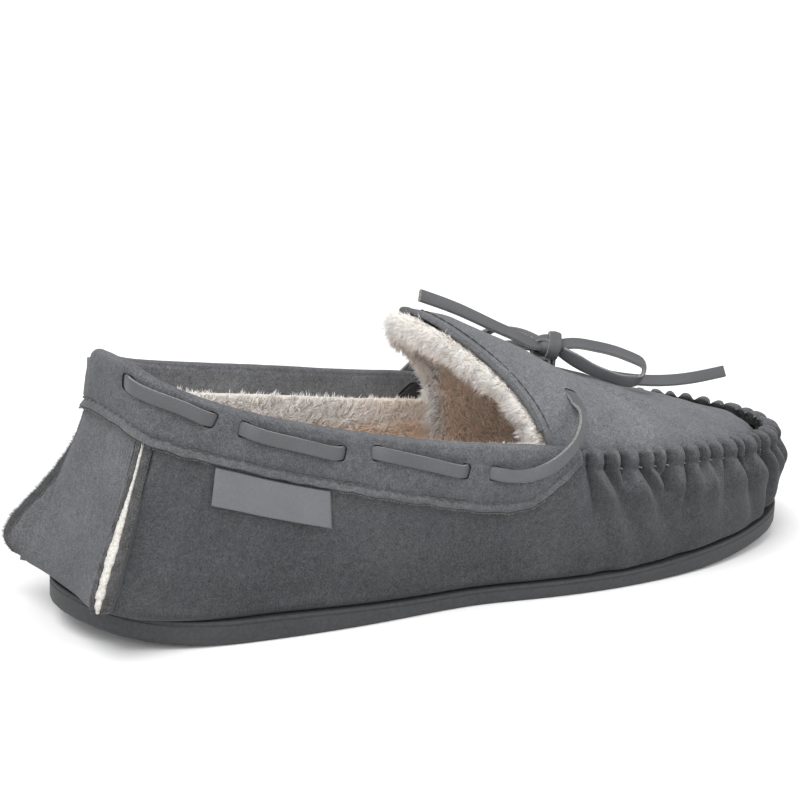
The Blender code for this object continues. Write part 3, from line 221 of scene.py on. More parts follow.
def chord_lengths(points):
    """Running length along a row of points, from 0."""
    return np.concatenate([[0.0], np.cumsum(np.linalg.norm(np.diff(points, axis=0), axis=1))])


def resample(places, knots, rows):
    """Rows of numbers at knots, read in between at places."""
    return np.stack([np.interp(places, knots, column) for column in np.transpose(rows)], axis=1)


def turned_to(vectors, way):
    """Vectors, each flipped where it points away from its way."""
    return vectors * np.sign(np.sum(vectors * way, axis=1))[:, None]


def kd_tree(points):
    """Search tree over points."""
    tree = KDTree(len(points))
    for i, point in enumerate(points):
        tree.insert(point, i)
    tree.balance()
    return tree


def smooth_route(points, step):
    """Points about step apart on a smooth curve through the given points."""
    points = np.asarray(points, float)
    lengths = chord_lengths(points)
    count = max(3, int(round(lengths[-1] / step)) + 1)
    return cubic_spline(lengths, points)(np.linspace(0.0, lengths[-1], count))


def smooth_step(low, high, value):
    """0 below low, 1 above high, easing in between."""
    part = np.clip((np.asarray(value, float) - low) / (high - low), 0.0, 1.0)
    return part * part * (3 - 2 * part)


def ripple(points, scale, seed):
    """Soft unevenness from -1 to 1 over points, with features about scale across."""
    rng = np.random.default_rng(seed)
    total = np.zeros(points.shape[:-1])
    for _ in range(7):
        direction = unit(rng.normal(size=3)) * (2 * math.pi / scale) * rng.uniform(0.6, 1.5)
        total += np.sin(points @ direction + rng.uniform(0, 2 * math.pi))
    return total / 4.0


# ---- Surfaces of the design ----
def sole_bottom(x):
    """Height of the tread above the ground."""
    heel = np.clip((HEEL_LIFT_START - x) / (HEEL_LIFT_START - HEEL_END), 0.0, 1.3)
    toe = np.clip((x - TOE_SPRING_START) / (TOE_END - TOE_SPRING_START), 0.0, 1.3)
    return HEEL_LIFT * heel ** 2 + TOE_SPRING * toe ** 2


def sole_top(x):
    """Height of the outsole's upper face."""
    heel = (SOLE_HEEL_THICKNESS - SOLE_WAIST_THICKNESS) * smooth_step(25.0, 95.0, -x)
    fore = (SOLE_FORE_THICKNESS - SOLE_WAIST_THICKNESS) * smooth_step(35.0, 85.0, x)
    return sole_bottom(x) + SOLE_WAIST_THICKNESS + heel + fore


def footbed_top(x):
    """Top of the plush footbed."""
    return sole_top(x) + MARGIN_GAP + SUEDE + FOOTBED_HEIGHT


def build_loop():
    """Splines of the sole edge, the top edge and the sections' control points over w."""
    def side(sole, top, sign):
        rows = []
        for i, ((x, half), (top_x, top_half, top_z)) in enumerate(zip(sole, top)):
            flare = HEEL_FLARE[i] if i < len(HEEL_FLARE) else (0.0, 0.0)
            rows.append([x, sign * half, flare[0], sign * flare[1], float(i >= len(HEEL_FLARE)),
                         top_x, sign * top_half, top_z, BULGE[i], BULGE_HEIGHT[i]])
        return rows

    toe = [TOE_SOLE[0], TOE_SOLE[1], 0.0, 0.0, 1.0, *TOE_TOP, TOE_BULGE, TOE_BULGE_HEIGHT]
    lateral = side(LATERAL_SOLE, LATERAL_TOP, -1.0)
    medial = side(MEDIAL_SOLE, MEDIAL_TOP, 1.0)
    table = np.array([toe] + lateral[::-1] + medial[1:])
    middle = 0.5 * (table[:, 0:2] + table[:, 5:7])
    lengths = chord_lengths(np.vstack([middle, middle[:1]]))
    heel = len(lateral)
    knots = np.where(np.arange(len(table)) <= heel, lengths[:-1] / lengths[heel] - 1.0,
                     (lengths[:-1] - lengths[heel]) / (lengths[-1] - lengths[heel]))
    return cubic_spline(knots, table, period=2.0)


LOOP = build_loop()


def fold_w(w):
    """Distance from the heel, 0 to 1, on either side of the shoe."""
    return 1.0 - np.abs((np.asarray(w, float) + 2.0) % 2.0 - 1.0)


def flat_normal(curve, w, reach):
    """Outward horizontal normal of a plan curve over w, averaged over the given reach."""
    tangent = (curve(w + reach) - curve(w - reach))[:, :2]
    return unit(np.stack([-tangent[:, 1], tangent[:, 0], np.zeros(len(tangent))], axis=1))


def sole_edge(w, inset=0.0):
    """Plan point of the outsole's edge, moved inward by inset; z is 0."""
    w = np.atleast_1d(np.asarray(w, float))
    point = np.zeros((len(w), 3))
    point[:, :2] = LOOP(w)[:, :2]
    return point - np.reshape(inset, (-1, 1)) * flat_normal(lambda v: LOOP(v)[:, :2], w, 0.008)


def upper_normal(w):
    """Outward horizontal normal of the upper, smoothed along it."""
    w = np.atleast_1d(np.asarray(w, float))
    return flat_normal(lambda v: 0.5 * (LOOP(v)[:, 0:2] + LOOP(v)[:, 5:7]), w, 0.03)


def top_edge(w):
    """Top edge of the upper's outer face."""
    return LOOP(np.atleast_1d(np.asarray(w, float)))[:, 5:8]


class Columns:
    """The upper's outer face at a row of places w, read by depth below the top edge or by height."""

    def __init__(self, w):
        self.w = np.atleast_1d(np.asarray(w, float))
        row = LOOP(self.w)
        self.normal = upper_normal(self.w)
        self.bottom = sole_edge(self.w)
        self.bottom[:, 0] += row[:, 2]
        self.bottom[:, 1] += row[:, 3]
        self.bottom -= (FEATHER_INSET * row[:, 4])[:, None] * self.normal
        self.bottom[:, 2] = sole_top(self.bottom[:, 0]) + MARGIN_GAP
        self.top = row[:, 5:8]
        self.control = self.bottom + row[:, 9:10] * (self.top - self.bottom) + row[:, 8:9] * self.normal
        self.samples = np.linspace(0.0, 1.0, 61)
        points = self.at(np.tile(self.samples, (len(self.w), 1)))
        steps = np.linalg.norm(np.diff(points, axis=1), axis=2)
        self.lengths = np.concatenate([np.zeros((len(self.w), 1)), np.cumsum(steps, axis=1)], axis=1)
        self.heights = points[:, :, 2]
        self.full = self.lengths[:, -1]

    def at(self, t, offset=0.0):
        """Points at t (places by rows), moved outward by offset."""
        t = t[..., None]
        bottom, control, top = self.bottom[:, None], self.control[:, None], self.top[:, None]
        point = (1 - t) ** 2 * bottom + 2 * t * (1 - t) * control + t ** 2 * top
        offset = np.broadcast_to(offset, point.shape[:2])
        return point + offset[..., None] * self.normal[:, None]

    def at_drop(self, drop, offset=0.0):
        """Points at a depth along the section below the top edge; above it for negative depths."""
        drop = np.broadcast_to(drop, (len(self.w), np.shape(drop)[-1]))
        t = np.stack([np.interp(full - d, lengths, self.samples)
                      for full, d, lengths in zip(self.full, drop, self.lengths)])
        points = self.at(t, offset)
        points[..., 2] += np.maximum(-drop, 0.0)
        return points

    def drop_at_height(self, height):
        """Depth below the top edge where the section reaches a height."""
        return np.array([full - np.interp(level, heights, lengths) for full, level, heights, lengths
                         in zip(self.full, height, self.heights, self.lengths)])


def w_at_x(x, side):
    """w on one side (-1 lateral, +1 medial) where the top edge has the given x."""
    samples = side * np.linspace(0.1, 0.97, 300)
    return float(np.interp(x, top_edge(samples)[:, 0], samples))


def collar_depth(w):
    """Depth of the collar's outer leg below the top edge."""
    return np.interp(top_edge(w)[:, 0], COLLAR_DEPTH_X, COLLAR_DEPTH)


def wall_top_drop(w):
    """How far the suede wall ends below the top edge: under the lace tunnel, then up into the toe seam."""
    x = top_edge(w)[:, 0]
    tunnel_end = TUNNEL_DROP + (TUNNEL_DROP_FRONT - TUNNEL_DROP) * smooth_step(-2.0, 14.0, x)
    return tunnel_end * (1 - smooth_step(COLLAR_END_X, COLLAR_END_X + 3.0, x))


SPINE_CURVE = cubic_spline([x for x, _ in SPINE], [[z] for _, z in SPINE])
JUNCTION = {-1: -w_at_x(JUNCTION_X, -1), 1: w_at_x(JUNCTION_X, 1)}


def side_and_start(w):
    """Side of the shoe at each place, -1 lateral and +1 medial, and where the apron starts on it."""
    side = np.where((w + 2.0) % 2.0 < 1.0, 1, -1)
    return side, np.where(side > 0, JUNCTION[1], JUNCTION[-1])


def apron_point(w, angle):
    """Outer face of the apron: angle 0 at its edge beside the upper, 90 degrees on its crown line."""
    w = np.atleast_1d(np.asarray(w, float))
    angle = np.broadcast_to(np.asarray(angle, float), w.shape)
    _, start = side_and_start(w)
    part = np.clip((fold_w(w) - start) / (1.0 - start), 0.0, 1.0)
    edge = top_edge(w) - APRON_EDGE_OFFSET * upper_normal(w)
    edge[:, 2] -= APRON_EDGE_DROP
    spine_x = SPINE_START_X + (SPINE_END_X - SPINE_START_X) * (1 - (1 - part) ** SPINE_SPREAD)
    spine_y = SPINE_Y_AT_TOE * (spine_x - SPINE_START_X) / (SPINE_END_X - SPINE_START_X)
    spine_z = SPINE_CURVE(spine_x)[:, 0]
    power = ARCH_POWER_REAR + (ARCH_POWER_FRONT - ARCH_POWER_REAR) * smooth_step(0.0, 0.55, part)
    cosine = np.cos(angle)
    x = spine_x + (edge[:, 0] - spine_x) * (cosine ** 2 * (1 - part) + cosine * part)
    y = spine_y + (edge[:, 1] - spine_y) * cosine
    z = edge[:, 2] + (spine_z - edge[:, 2]) * np.sin(angle) ** power
    return np.stack([x, y, z], axis=1)


def apron_normal(w, angle):
    """Upward normal of the apron, from small steps along and across it."""
    w = np.atleast_1d(np.asarray(w, float))
    angle = np.broadcast_to(np.asarray(angle, float), w.shape)
    side, start = side_and_start(w)
    base = np.where(fold_w(w) < start + 0.004, w + 0.004 * side, w)
    along = apron_point(base + 0.003, angle) - apron_point(base - 0.003, angle)
    steep = np.clip(angle, 0.12, 0.5 * math.pi - 0.03)
    normal = unit(np.cross(along, apron_point(w, steep + 0.03) - apron_point(w, steep - 0.03)))
    normal *= np.where(normal[:, 2] < 0, -1.0, 1.0)[:, None]
    crown = smooth_step(1.25, 1.5, angle)[:, None]
    return unit((1 - crown) * normal + crown * normal * np.array([1.0, 0.0, 1.0]))


def apron_w_at_x(x, angle, side):
    """w on one side where the apron, at the given angle, has the given x."""
    samples = side * np.linspace(JUNCTION[side], 0.95, 200)
    return float(np.interp(x, apron_point(samples, angle)[:, 0], samples))


# ---- Mesh making ----
def quad_strip(columns, rows, wrap=False, base=0):
    """Quads of a grid of columns by rows, as indices; wrap joins the last row to the first."""
    i, j = np.meshgrid(np.arange(columns - 1), np.arange(rows if wrap else rows - 1), indexing="ij")
    k = (j + 1) % rows
    quads = np.stack([i * rows + j, i * rows + k, (i + 1) * rows + k, (i + 1) * rows + j], axis=-1)
    return quads.reshape(-1, 4) + base


def add_object(name, data):
    """New object in the scene."""
    obj = bpy.data.objects.new(name, data)
    bpy.context.scene.collection.objects.link(obj)
    return obj


def closed_mesh(name, points, faces, merge=0.0):
    """Mesh from points in millimetres and faces, with its faces turned out."""
    mesh = bpy.data.meshes.new(name)
    mesh.from_pydata(((np.asarray(points) + SHIFT) * MM).tolist(), [], [tuple(f) for f in faces])
    shape = bmesh.new()
    shape.from_mesh(mesh)
    if merge:
        bmesh.ops.remove_doubles(shape, verts=shape.verts, dist=merge * MM)
    bmesh.ops.recalc_face_normals(shape, faces=shape.faces)
    if shape.calc_volume(signed=True) < 0:
        bmesh.ops.reverse_faces(shape, faces=shape.faces)
    shape.to_mesh(mesh)
    shape.free()
    return mesh


def smooth_mesh(mesh, sharp):
    """Shades a mesh smooth, with crisp edges where it turns by more than sharp degrees."""
    mesh.shade_smooth()
    mesh.set_sharp_from_angle(angle=math.radians(sharp))


def make_piece(name, points, faces, material, replaces=(), slot=None, sharp=40.0, body=BODY, merge=0.0):
    """Object from points in millimetres and faces, riding on its body; material is one or a list of them."""
    mesh = closed_mesh(name, points, faces, merge)
    smooth_mesh(mesh, sharp)
    obj = add_object(name, mesh)
    for part in (material if isinstance(material, (list, tuple)) else [material]):
        mesh.materials.append(part)
    finish_piece(obj, replaces, body)
    return obj


def finish_piece(obj, replaces=(), body=BODY):
    """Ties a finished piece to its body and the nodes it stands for."""
    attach(obj, body)
    if replaces:
        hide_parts(*replaces)


def sheet_mesh(outer, inner, end_cap=True):
    """Closed shell between two grids of points: points and faces. end_cap closes the last column."""
    rings = np.concatenate([outer, inner[:, ::-1]], axis=1)
    count, size = rings.shape[:2]
    half = size // 2
    faces = quad_strip(count, size, wrap=True).tolist()
    for base, turn in ((0, 1), ((count - 1) * size, -1))[:2 if end_cap else 1]:
        for j in range(half - 1):
            cap = (base + j, base + j + 1, base + size - 2 - j, base + size - 1 - j)
            faces.append(cap[::turn])
    return rings.reshape(-1, 3), faces


def tube_mesh(rings):
    """Closed solid from a row of closed rings: points and faces, with flat ends."""
    rings = np.asarray(rings)
    count, size = rings.shape[:2]
    faces = quad_strip(count, size, wrap=True).tolist()
    faces.append(tuple(range(size)))
    faces.append(tuple(range((count - 1) * size, count * size)))
    return rings.reshape(-1, 3), faces


def round_rings(line, across, up, size, count):
    """Rings of a round cord along a line, between its sideways and upward directions."""
    return np.stack([line + size * (math.cos(a) * across + math.sin(a) * up)
                     for a in np.linspace(0.0, 2 * math.pi, count + 1)[:-1]], axis=1)


def strap_rings(points, normals, width, thickness, bevel=0.3, cup=0.0):
    """Rings of a flat strap with rounded edges along points, its broad faces turned to the normals.

    cup is how far the middle of its upper face is hollowed.
    """
    tangents = unit(np.gradient(points, axis=0))
    across = unit(np.cross(tangents, normals))
    face = np.cross(across, tangents)
    w, h = 0.5 * width, 0.5 * thickness
    steps = [(0.0, 1.0), (0.5, 0.3), (1.4, 0.0)]
    section = [(-w + bevel * a, -h + bevel * b) for a, b in steps] + [(0.0, -h)]
    section += [(w - bevel * a, -h + bevel * b) for a, b in steps[::-1]]
    section += [(w - bevel * a, h - bevel * b) for a, b in steps] + [(0.0, h - cup)]
    section += [(-w + bevel * a, h - bevel * b) for a, b in steps[::-1]]
    return np.stack([points + a * across + b * face for a, b in section], axis=1)


def join_meshes(parts):
    """Points and faces of several (points, faces) parts as one."""
    points, faces, base = [], [], 0
    for part_points, part_faces in parts:
        points.append(part_points)
        faces += [tuple(int(v) + base for v in face) for face in part_faces]
        base += len(part_points)
    return np.concatenate(points), faces


def cut_with(obj, cutters):
    """Cuts a piece with closed cutter shapes and applies the cut."""
    cutter = add_object("cutter", closed_mesh("cutter", *join_meshes(cutters)))
    boolean = obj.modifiers.new("slits", "BOOLEAN")
    boolean.operation = "DIFFERENCE"
    boolean.solver = "EXACT"
    boolean.object = cutter
    bpy.context.view_layer.update()
    evaluated = obj.evaluated_get(bpy.context.evaluated_depsgraph_get())
    result = bpy.data.meshes.new_from_object(evaluated)
    obj.modifiers.clear()
    obj.data = result
    bpy.data.objects.remove(cutter, do_unlink=True)
    smooth_mesh(obj.data, 40.0)


# ---- Materials ----
def shader_of(material):
    """The Principled shader of a material."""
    return material.node_tree.nodes["Principled BSDF"]


def add_noise(tree, scale, detail=4.0, roughness=0.6):
    """Noise over the piece's own space, in metres."""
    place = tree.nodes.new("ShaderNodeTexCoord")
    noise = tree.nodes.new("ShaderNodeTexNoise")
    noise.inputs["Scale"].default_value = scale
    noise.inputs["Detail"].default_value = detail
    noise.inputs["Roughness"].default_value = roughness
    tree.links.new(place.outputs["Object"], noise.inputs["Vector"])
    return noise.outputs["Fac"]


def add_ramp(tree, value, stops):
    """Colour ramp over a value; stops are (position, colour or level of grey)."""
    ramp = tree.nodes.new("ShaderNodeValToRGB")
    elements = ramp.color_ramp.elements
    while len(elements) < len(stops):
        elements.new(0.5)
    for element, (position, colour) in zip(elements, stops):
        element.position = position
        element.color = (*np.broadcast_to(colour, 3), 1.0)
    tree.links.new(value, ramp.inputs["Fac"])
    return ramp.outputs["Color"]


def feed(tree, value, socket):
    """Gives an input a socket to read from, a number or a plain colour."""
    if isinstance(value, bpy.types.NodeSocket):
        tree.links.new(value, socket)
    elif isinstance(value, (int, float)):
        socket.default_value = value
    else:
        socket.default_value = (*value, 1.0)


def add_mix(tree, blend, share, first, second):
    """Mix of two colours, each a socket or a plain colour; share is a socket or a number."""
    mix = tree.nodes.new("ShaderNodeMix")
    mix.data_type = "RGBA"
    mix.blend_type = blend
    for index, value in ((0, share), (6, first), (7, second)):
        feed(tree, value, mix.inputs[index])
    return mix.outputs[2]


def tint(tree, colour, value, low, high):
    """Colour multiplied by a ramp over a value; low and high are its (position, colour) ends."""
    return add_mix(tree, "MULTIPLY", 1.0, colour, add_ramp(tree, value, [low, high]))


def add_bump(tree, height, strength, distance):
    """Bump from a height socket into the shader's normal, over any bump already there."""
    shader = tree.nodes["Principled BSDF"]
    bump = tree.nodes.new("ShaderNodeBump")
    bump.inputs["Strength"].default_value = strength
    bump.inputs["Distance"].default_value = distance
    tree.links.new(height, bump.inputs["Height"])
    if shader.inputs["Normal"].is_linked:
        tree.links.new(shader.inputs["Normal"].links[0].from_socket, bump.inputs["Normal"])
    tree.links.new(bump.outputs["Normal"], shader.inputs["Normal"])


def add_range(tree, value, low, high):
    """Value from 0 at low to 1 at high."""
    node = tree.nodes.new("ShaderNodeMapRange")
    node.inputs["From Min"].default_value = low
    node.inputs["From Max"].default_value = high
    tree.links.new(value, node.inputs["Value"])
    return node.outputs["Result"]


def new_material(name, roughness, sheen=0.0, sheen_tint=(1.0, 1.0, 1.0), specular=0.5):
    """Principled material with its constant values."""
    material = bpy.data.materials.new(name)
    material.use_nodes = True
    shader = shader_of(material)
    shader.inputs["Roughness"].default_value = roughness
    shader.inputs["Specular IOR Level"].default_value = specular
    shader.inputs["Sheen Weight"].default_value = sheen
    shader.inputs["Sheen Roughness"].default_value = 0.45
    shader.inputs["Sheen Tint"].default_value = (*sheen_tint, 1.0)
    return material


def paint(material, colour):
    """Gives a material its base colour, a socket or a plain colour."""
    feed(material.node_tree, colour, shader_of(material).inputs["Base Color"])


def height_part(tree, vector):
    """Z of a vector socket."""
    split = tree.nodes.new("ShaderNodeSeparateXYZ")
    tree.links.new(vector, split.inputs["Vector"])
    return split.outputs["Z"]


def suede_material(name, tone, lift=0.0, inside=0.0):
    """Brushed suede: short fibres in fine flecks, faint brushed patches, paler raised edges and painted shade
    in its hollows.

    lift is how much painted light pales it where it faces up, and how much painted shade darkens it low down
    and underneath.
    inside is how much painted light pales it on the turned side, towards the foot, where the mouth is in
    shade.
    """
    material = new_material(name, 0.95, sheen=0.10, sheen_tint=(0.85, 0.85, 0.88), specular=0.12)
    tree = material.node_tree
    grey = np.array([0.965, 0.99, 1.045]) * tone
    fleck = add_noise(tree, 1900.0, 5.0, 0.75)
    colour = add_ramp(tree, fleck, [(0.34, grey * 0.55), (0.5, grey), (0.66, grey * 1.48)])
    colour = tint(tree, colour, add_noise(tree, 520.0, 3.0), (0.35, 0.88), (0.65, 1.09))
    patches = add_noise(tree, 32.0, 4.0)
    colour = tint(tree, colour, patches, (0.3, (0.84, 0.84, 0.85)), (0.7, (1.13, 1.13, 1.12)))
    surface = tree.nodes.new("ShaderNodeNewGeometry")
    worn = add_ramp(tree, surface.outputs["Pointiness"], [(0.53, 0.0), (0.64, 0.45)])
    colour = add_mix(tree, "MIX", worn, colour, (0.22, 0.205, 0.19))
    # Painted shade: darker in the hollows and creases, read from pointiness.
    colour = tint(tree, colour, surface.outputs["Pointiness"], (0.40, 0.55), (0.49, 1.0))
    if lift > 0.0:
        # Painted light and shade: paler where the suede faces up, darker where it faces down.
        facing = add_range(tree, height_part(tree, surface.outputs["Normal"]), -0.15, 0.85)
        painted_facing_light = add_ramp(tree, facing, [(0.0, 1 - 0.5 * lift), (0.45, 1.0), (1.0, 1 + lift)])
        colour = add_mix(tree, "MULTIPLY", 1.0, colour, painted_facing_light)
        # Painted shade: darker low down, towards the sole.
        height = add_range(tree, height_part(tree, surface.outputs["Position"]), 0.010, 0.045)
        colour = tint(tree, colour, height, (0.0, 1 - 0.45 * lift), (1.0, 1.0))
    if inside > 0.0:
        # Painted light: paler on faces turned inward, towards the foot, where the mouth is in shade.
        turned = tree.nodes.new("ShaderNodeVectorMath")
        turned.operation = "DOT_PRODUCT"
        tree.links.new(surface.outputs["Normal"], turned.inputs[0])
        tree.links.new(surface.outputs["Position"], turned.inputs[1])
        inward = add_range(tree, turned.outputs["Value"], -0.002, -0.028)
        colour = tint(tree, colour, inward, (0.0, 1.0), (1.0, 1 + inside))
    paint(material, colour)
    add_bump(tree, fleck, 0.45, 0.0003)
    add_bump(tree, add_noise(tree, 600.0, 3.0), 0.35, 0.0004)
    return material


def leather_material(name, tone, roughness):
    """Smooth dyed leather: fine grain, faint creases and slight unevenness of colour."""
    material = new_material(name, roughness, sheen=0.05, specular=0.35)
    tree = material.node_tree
    grey = np.array([0.97, 0.99, 1.05]) * tone
    colour = add_ramp(tree, add_noise(tree, 90.0, 3.0), [(0.3, grey * 0.95), (0.7, grey * 1.05)])
    paint(material, tint(tree, colour, add_noise(tree, 2200.0, 2.0), (0.35, 0.9), (0.65, 1.06)))
    add_bump(tree, add_noise(tree, 1500.0, 3.0), 0.35, 0.00012)
    add_bump(tree, add_noise(tree, 240.0, 2.0), 0.2, 0.0004)
    return material


def fibre_material(name, fine, low, high, bump, roughness=0.95, sheen=0.3, sheen_tint=(1.0, 1.0, 1.0)):
    """Matted fibres: a ramp over one noise, and a bump from another.

    fine is the first noise as (scale, detail, roughness); bump is (scale, detail, strength, distance).
    """
    material = new_material(name, roughness, sheen=sheen, sheen_tint=sheen_tint, specular=0.1)
    tree = material.node_tree
    paint(material, add_ramp(tree, add_noise(tree, *fine), [low, high]))
    scale, detail, strength, distance = bump
    add_bump(tree, add_noise(tree, scale, detail), strength, distance)
    return material


def raw_edge_material(name):
    """Cut edge of leather: paler and fibrous."""
    return fibre_material(name, (1500.0, 4.0, 0.6), (0.3, 0.10), (0.7, (0.30, 0.29, 0.28)),
                          (1800.0, 4.0, 0.6, 0.0003))


def felt_material():
    """Off-white felt with matted fibres."""
    return fibre_material("felt", (1400.0, 5.0, 0.8), (0.3, (0.34, 0.32, 0.29)), (0.62, (0.72, 0.70, 0.66)),
                          (1600.0, 4.0, 0.8, 0.0004), roughness=1.0)


def pile_base_material():
    """Dense pile seen between the blades: matted tan and cream locks."""
    tan, cream = (0.3, (0.80, 0.66, 0.54)), (0.7, (0.94, 0.88, 0.80))
    return fibre_material("pile_base", (260.0, 5.0, 0.6), tan, cream, (900.0, 5.0, 0.9, 0.0012),
                          roughness=1.0, sheen=0.4, sheen_tint=(1.0, 0.95, 0.9))


def rubber_material():
    """Moulded outsole: matte, nearly even, with a faint speckle and fine scuffs."""
    material = new_material("outsole_rubber", 0.62, specular=0.4)
    tree = material.node_tree
    colour = add_ramp(tree, add_noise(tree, 900.0, 3.0),
                      [(0.3, (0.028, 0.029, 0.031)), (0.7, (0.045, 0.0465, 0.049))])
    paint(material, tint(tree, colour, add_noise(tree, 30.0, 2.0), (0.3, 0.9), (0.7, 1.1)))
    add_bump(tree, add_noise(tree, 1100.0, 4.0), 0.3, 0.00015)
    return material


def thread_material(name, colour):
    """Twisted sewing thread."""
    material = new_material(name, 0.8, sheen=0.2, specular=0.2)
    tree = material.node_tree
    wave = tree.nodes.new("ShaderNodeTexWave")
    place = tree.nodes.new("ShaderNodeTexCoord")
    wave.inputs["Scale"].default_value = 900.0
    tree.links.new(place.outputs["Object"], wave.inputs["Vector"])
    dark = [0.6 * c for c in colour]
    paint(material, add_ramp(tree, wave.outputs["Fac"], [(0.2, dark), (0.8, colour)]))
    return material


# ---- Outsole ----
def make_outsole(material):
    """Outsole with a rounded lower edge, a fine line moulded round its side and grooves in its tread."""
    columns, across = 240, 22
    places = np.linspace(0.0, 1.0, columns)
    # Side profile as (inset, share of the height, millimetres added to it).
    profile = [(1.6, 0.0, 0.0), (0.75, 0.0, 0.12), (0.25, 0.0, 0.55), (0.0, 0.0, 1.2), (0.0, 0.5, 0.0),
               (0.0, 1.0, -1.75), (0.28, 1.0, -1.45), (0.28, 1.0, -1.15), (0.0, 1.0, -0.85),
               (0.12, 1.0, -0.3), (0.55, 1.0, 0.0)]
    parts, rims = [], {}
    for side in (-1.0, 1.0):
        grid = []
        for inset, share, lift in profile:
            edge = sole_edge(side * places, inset)
            edge[0, 1] = 0.0
            low, high = sole_bottom(edge[:, 0]), sole_top(edge[:, 0])
            edge[:, 2] = low + share * (high - low) + lift
            grid.append(edge)
        grid = np.stack(grid, axis=1)
        parts.append((grid.reshape(-1, 3), quad_strip(columns, len(profile)).tolist()))
        rims[side] = grid
    shares = np.linspace(0.0, 1.0, across)[:, None]
    for level in (0, -1):
        low, high = rims[-1.0][:, level], rims[1.0][:, level]
        grid = low[:, None] * (1 - shares) + high[:, None] * shares
        if level == 0:
            x, y = grid[..., 0], grid[..., 1]
            half = np.where(x < 0, 26.0, 34.0)
            groove = np.zeros(x.shape)
            for place in TREAD_GROOVES:
                bend = 1.6 * np.cos(math.pi * np.clip(y / half, -1, 1))
                inside = 1 - smooth_step(0.35 * TREAD_WIDTH, 0.75 * TREAD_WIDTH, np.abs(x - place + bend))
                groove = np.maximum(groove, inside * (1 - smooth_step(half - 3.0, half, np.abs(y))))
            grid[..., 2] += TREAD_DEPTH * groove
            grid[:, 1:-1, 2] = np.maximum(grid[:, 1:-1, 2], sole_bottom(x[:, 1:-1]))
        parts.append((grid.reshape(-1, 3), quad_strip(columns, across).tolist()))
    make_piece("outsole_moulded", *join_meshes(parts), material, ["outsole"], "outsole_rubber", sharp=32.0,
               merge=0.01)


# ---- Suede wall and heel panel ----
def seam_frame(w):
    """Corner directions of a heel seam: straight out of the corner, and sideways towards the side wall."""
    side = np.sign(w)
    return np.array([-0.62, side * 0.785, 0.0]), np.array([0.785, side * 0.62, 0.0])


def seam_half_gap(share):
    """Half the gap that the felt fills in a heel seam, at a share of the height."""
    return np.interp(share, SEAM_GAP_HEIGHTS, SEAM_GAP_HALVES)


def wall_places(start, finish):
    """Columns of the wall: close together where the toe seam gathers it, wider elsewhere."""
    fine = np.linspace(start, finish, 4001)
    edge = top_edge(fine)
    lengths = chord_lengths(edge)
    step = np.where(edge[:, 0] > 15.0, 0.62, 2.0)
    steps = np.concatenate([[0.0], np.cumsum(np.diff(lengths) / step[1:])])
    count = int(steps[-1]) + 1
    return np.interp(np.linspace(0.0, steps[-1], count), steps, fine)


def pleat_centres(total):
    """Places of the tucks along the gathered seam, and the random draws that continue from them."""
    rng = np.random.default_rng(5)
    count = int(round(total / PLEAT_PITCH))
    return (np.arange(count) + 0.5 + rng.uniform(-0.19, 0.19, count)) * total / count, rng


def pleat_field(along, total, drop):
    """Depth of the tucks, from 0 to 1, and swell of the folds between them, over the gathered seam."""
    centres, rng = pleat_centres(total)
    tucks = np.zeros(drop.shape)
    below = np.maximum(drop - PINCH_DROP, 0.0)
    for centre in centres:
        lean = rng.uniform(-0.05, 0.60) * (1.0 if centre < 0.5 * total else -1.0)
        reach = rng.choice([6.0, 11.0, 18.0, 27.0]) * rng.uniform(0.85, 1.2)
        size = rng.uniform(0.75, 1.2)
        width = PLEAT_WIDTH * rng.uniform(0.85, 1.2) + 0.12 * below
        fall = np.where(drop < PINCH_DROP, 0.55 + 0.45 * smooth_step(0.0, 4.0, drop), np.exp(-below / reach))
        tucks += size * fall * np.exp(-((along[:, None] - centre - lean * below) / width) ** 2)
    band = np.exp(-((drop - 3.0) / 2.6) ** 2) + 1.4 * np.exp(-((drop - 12.5) / 6.0) ** 2)
    return tucks, (1 - np.clip(tucks, 0, 1)) * band


def wall_drops(columns):
    """Depths of the suede's rows below its own top and below the top edge; the rows close up near its top."""
    top_drop = wall_top_drop(columns.w)
    r = np.linspace(1.0, 0.0, WALL_ROWS)
    below = (columns.full - top_drop)[:, None] * (0.33 * r + 0.67 * r ** 2.3)
    return below, top_drop[:, None] + below


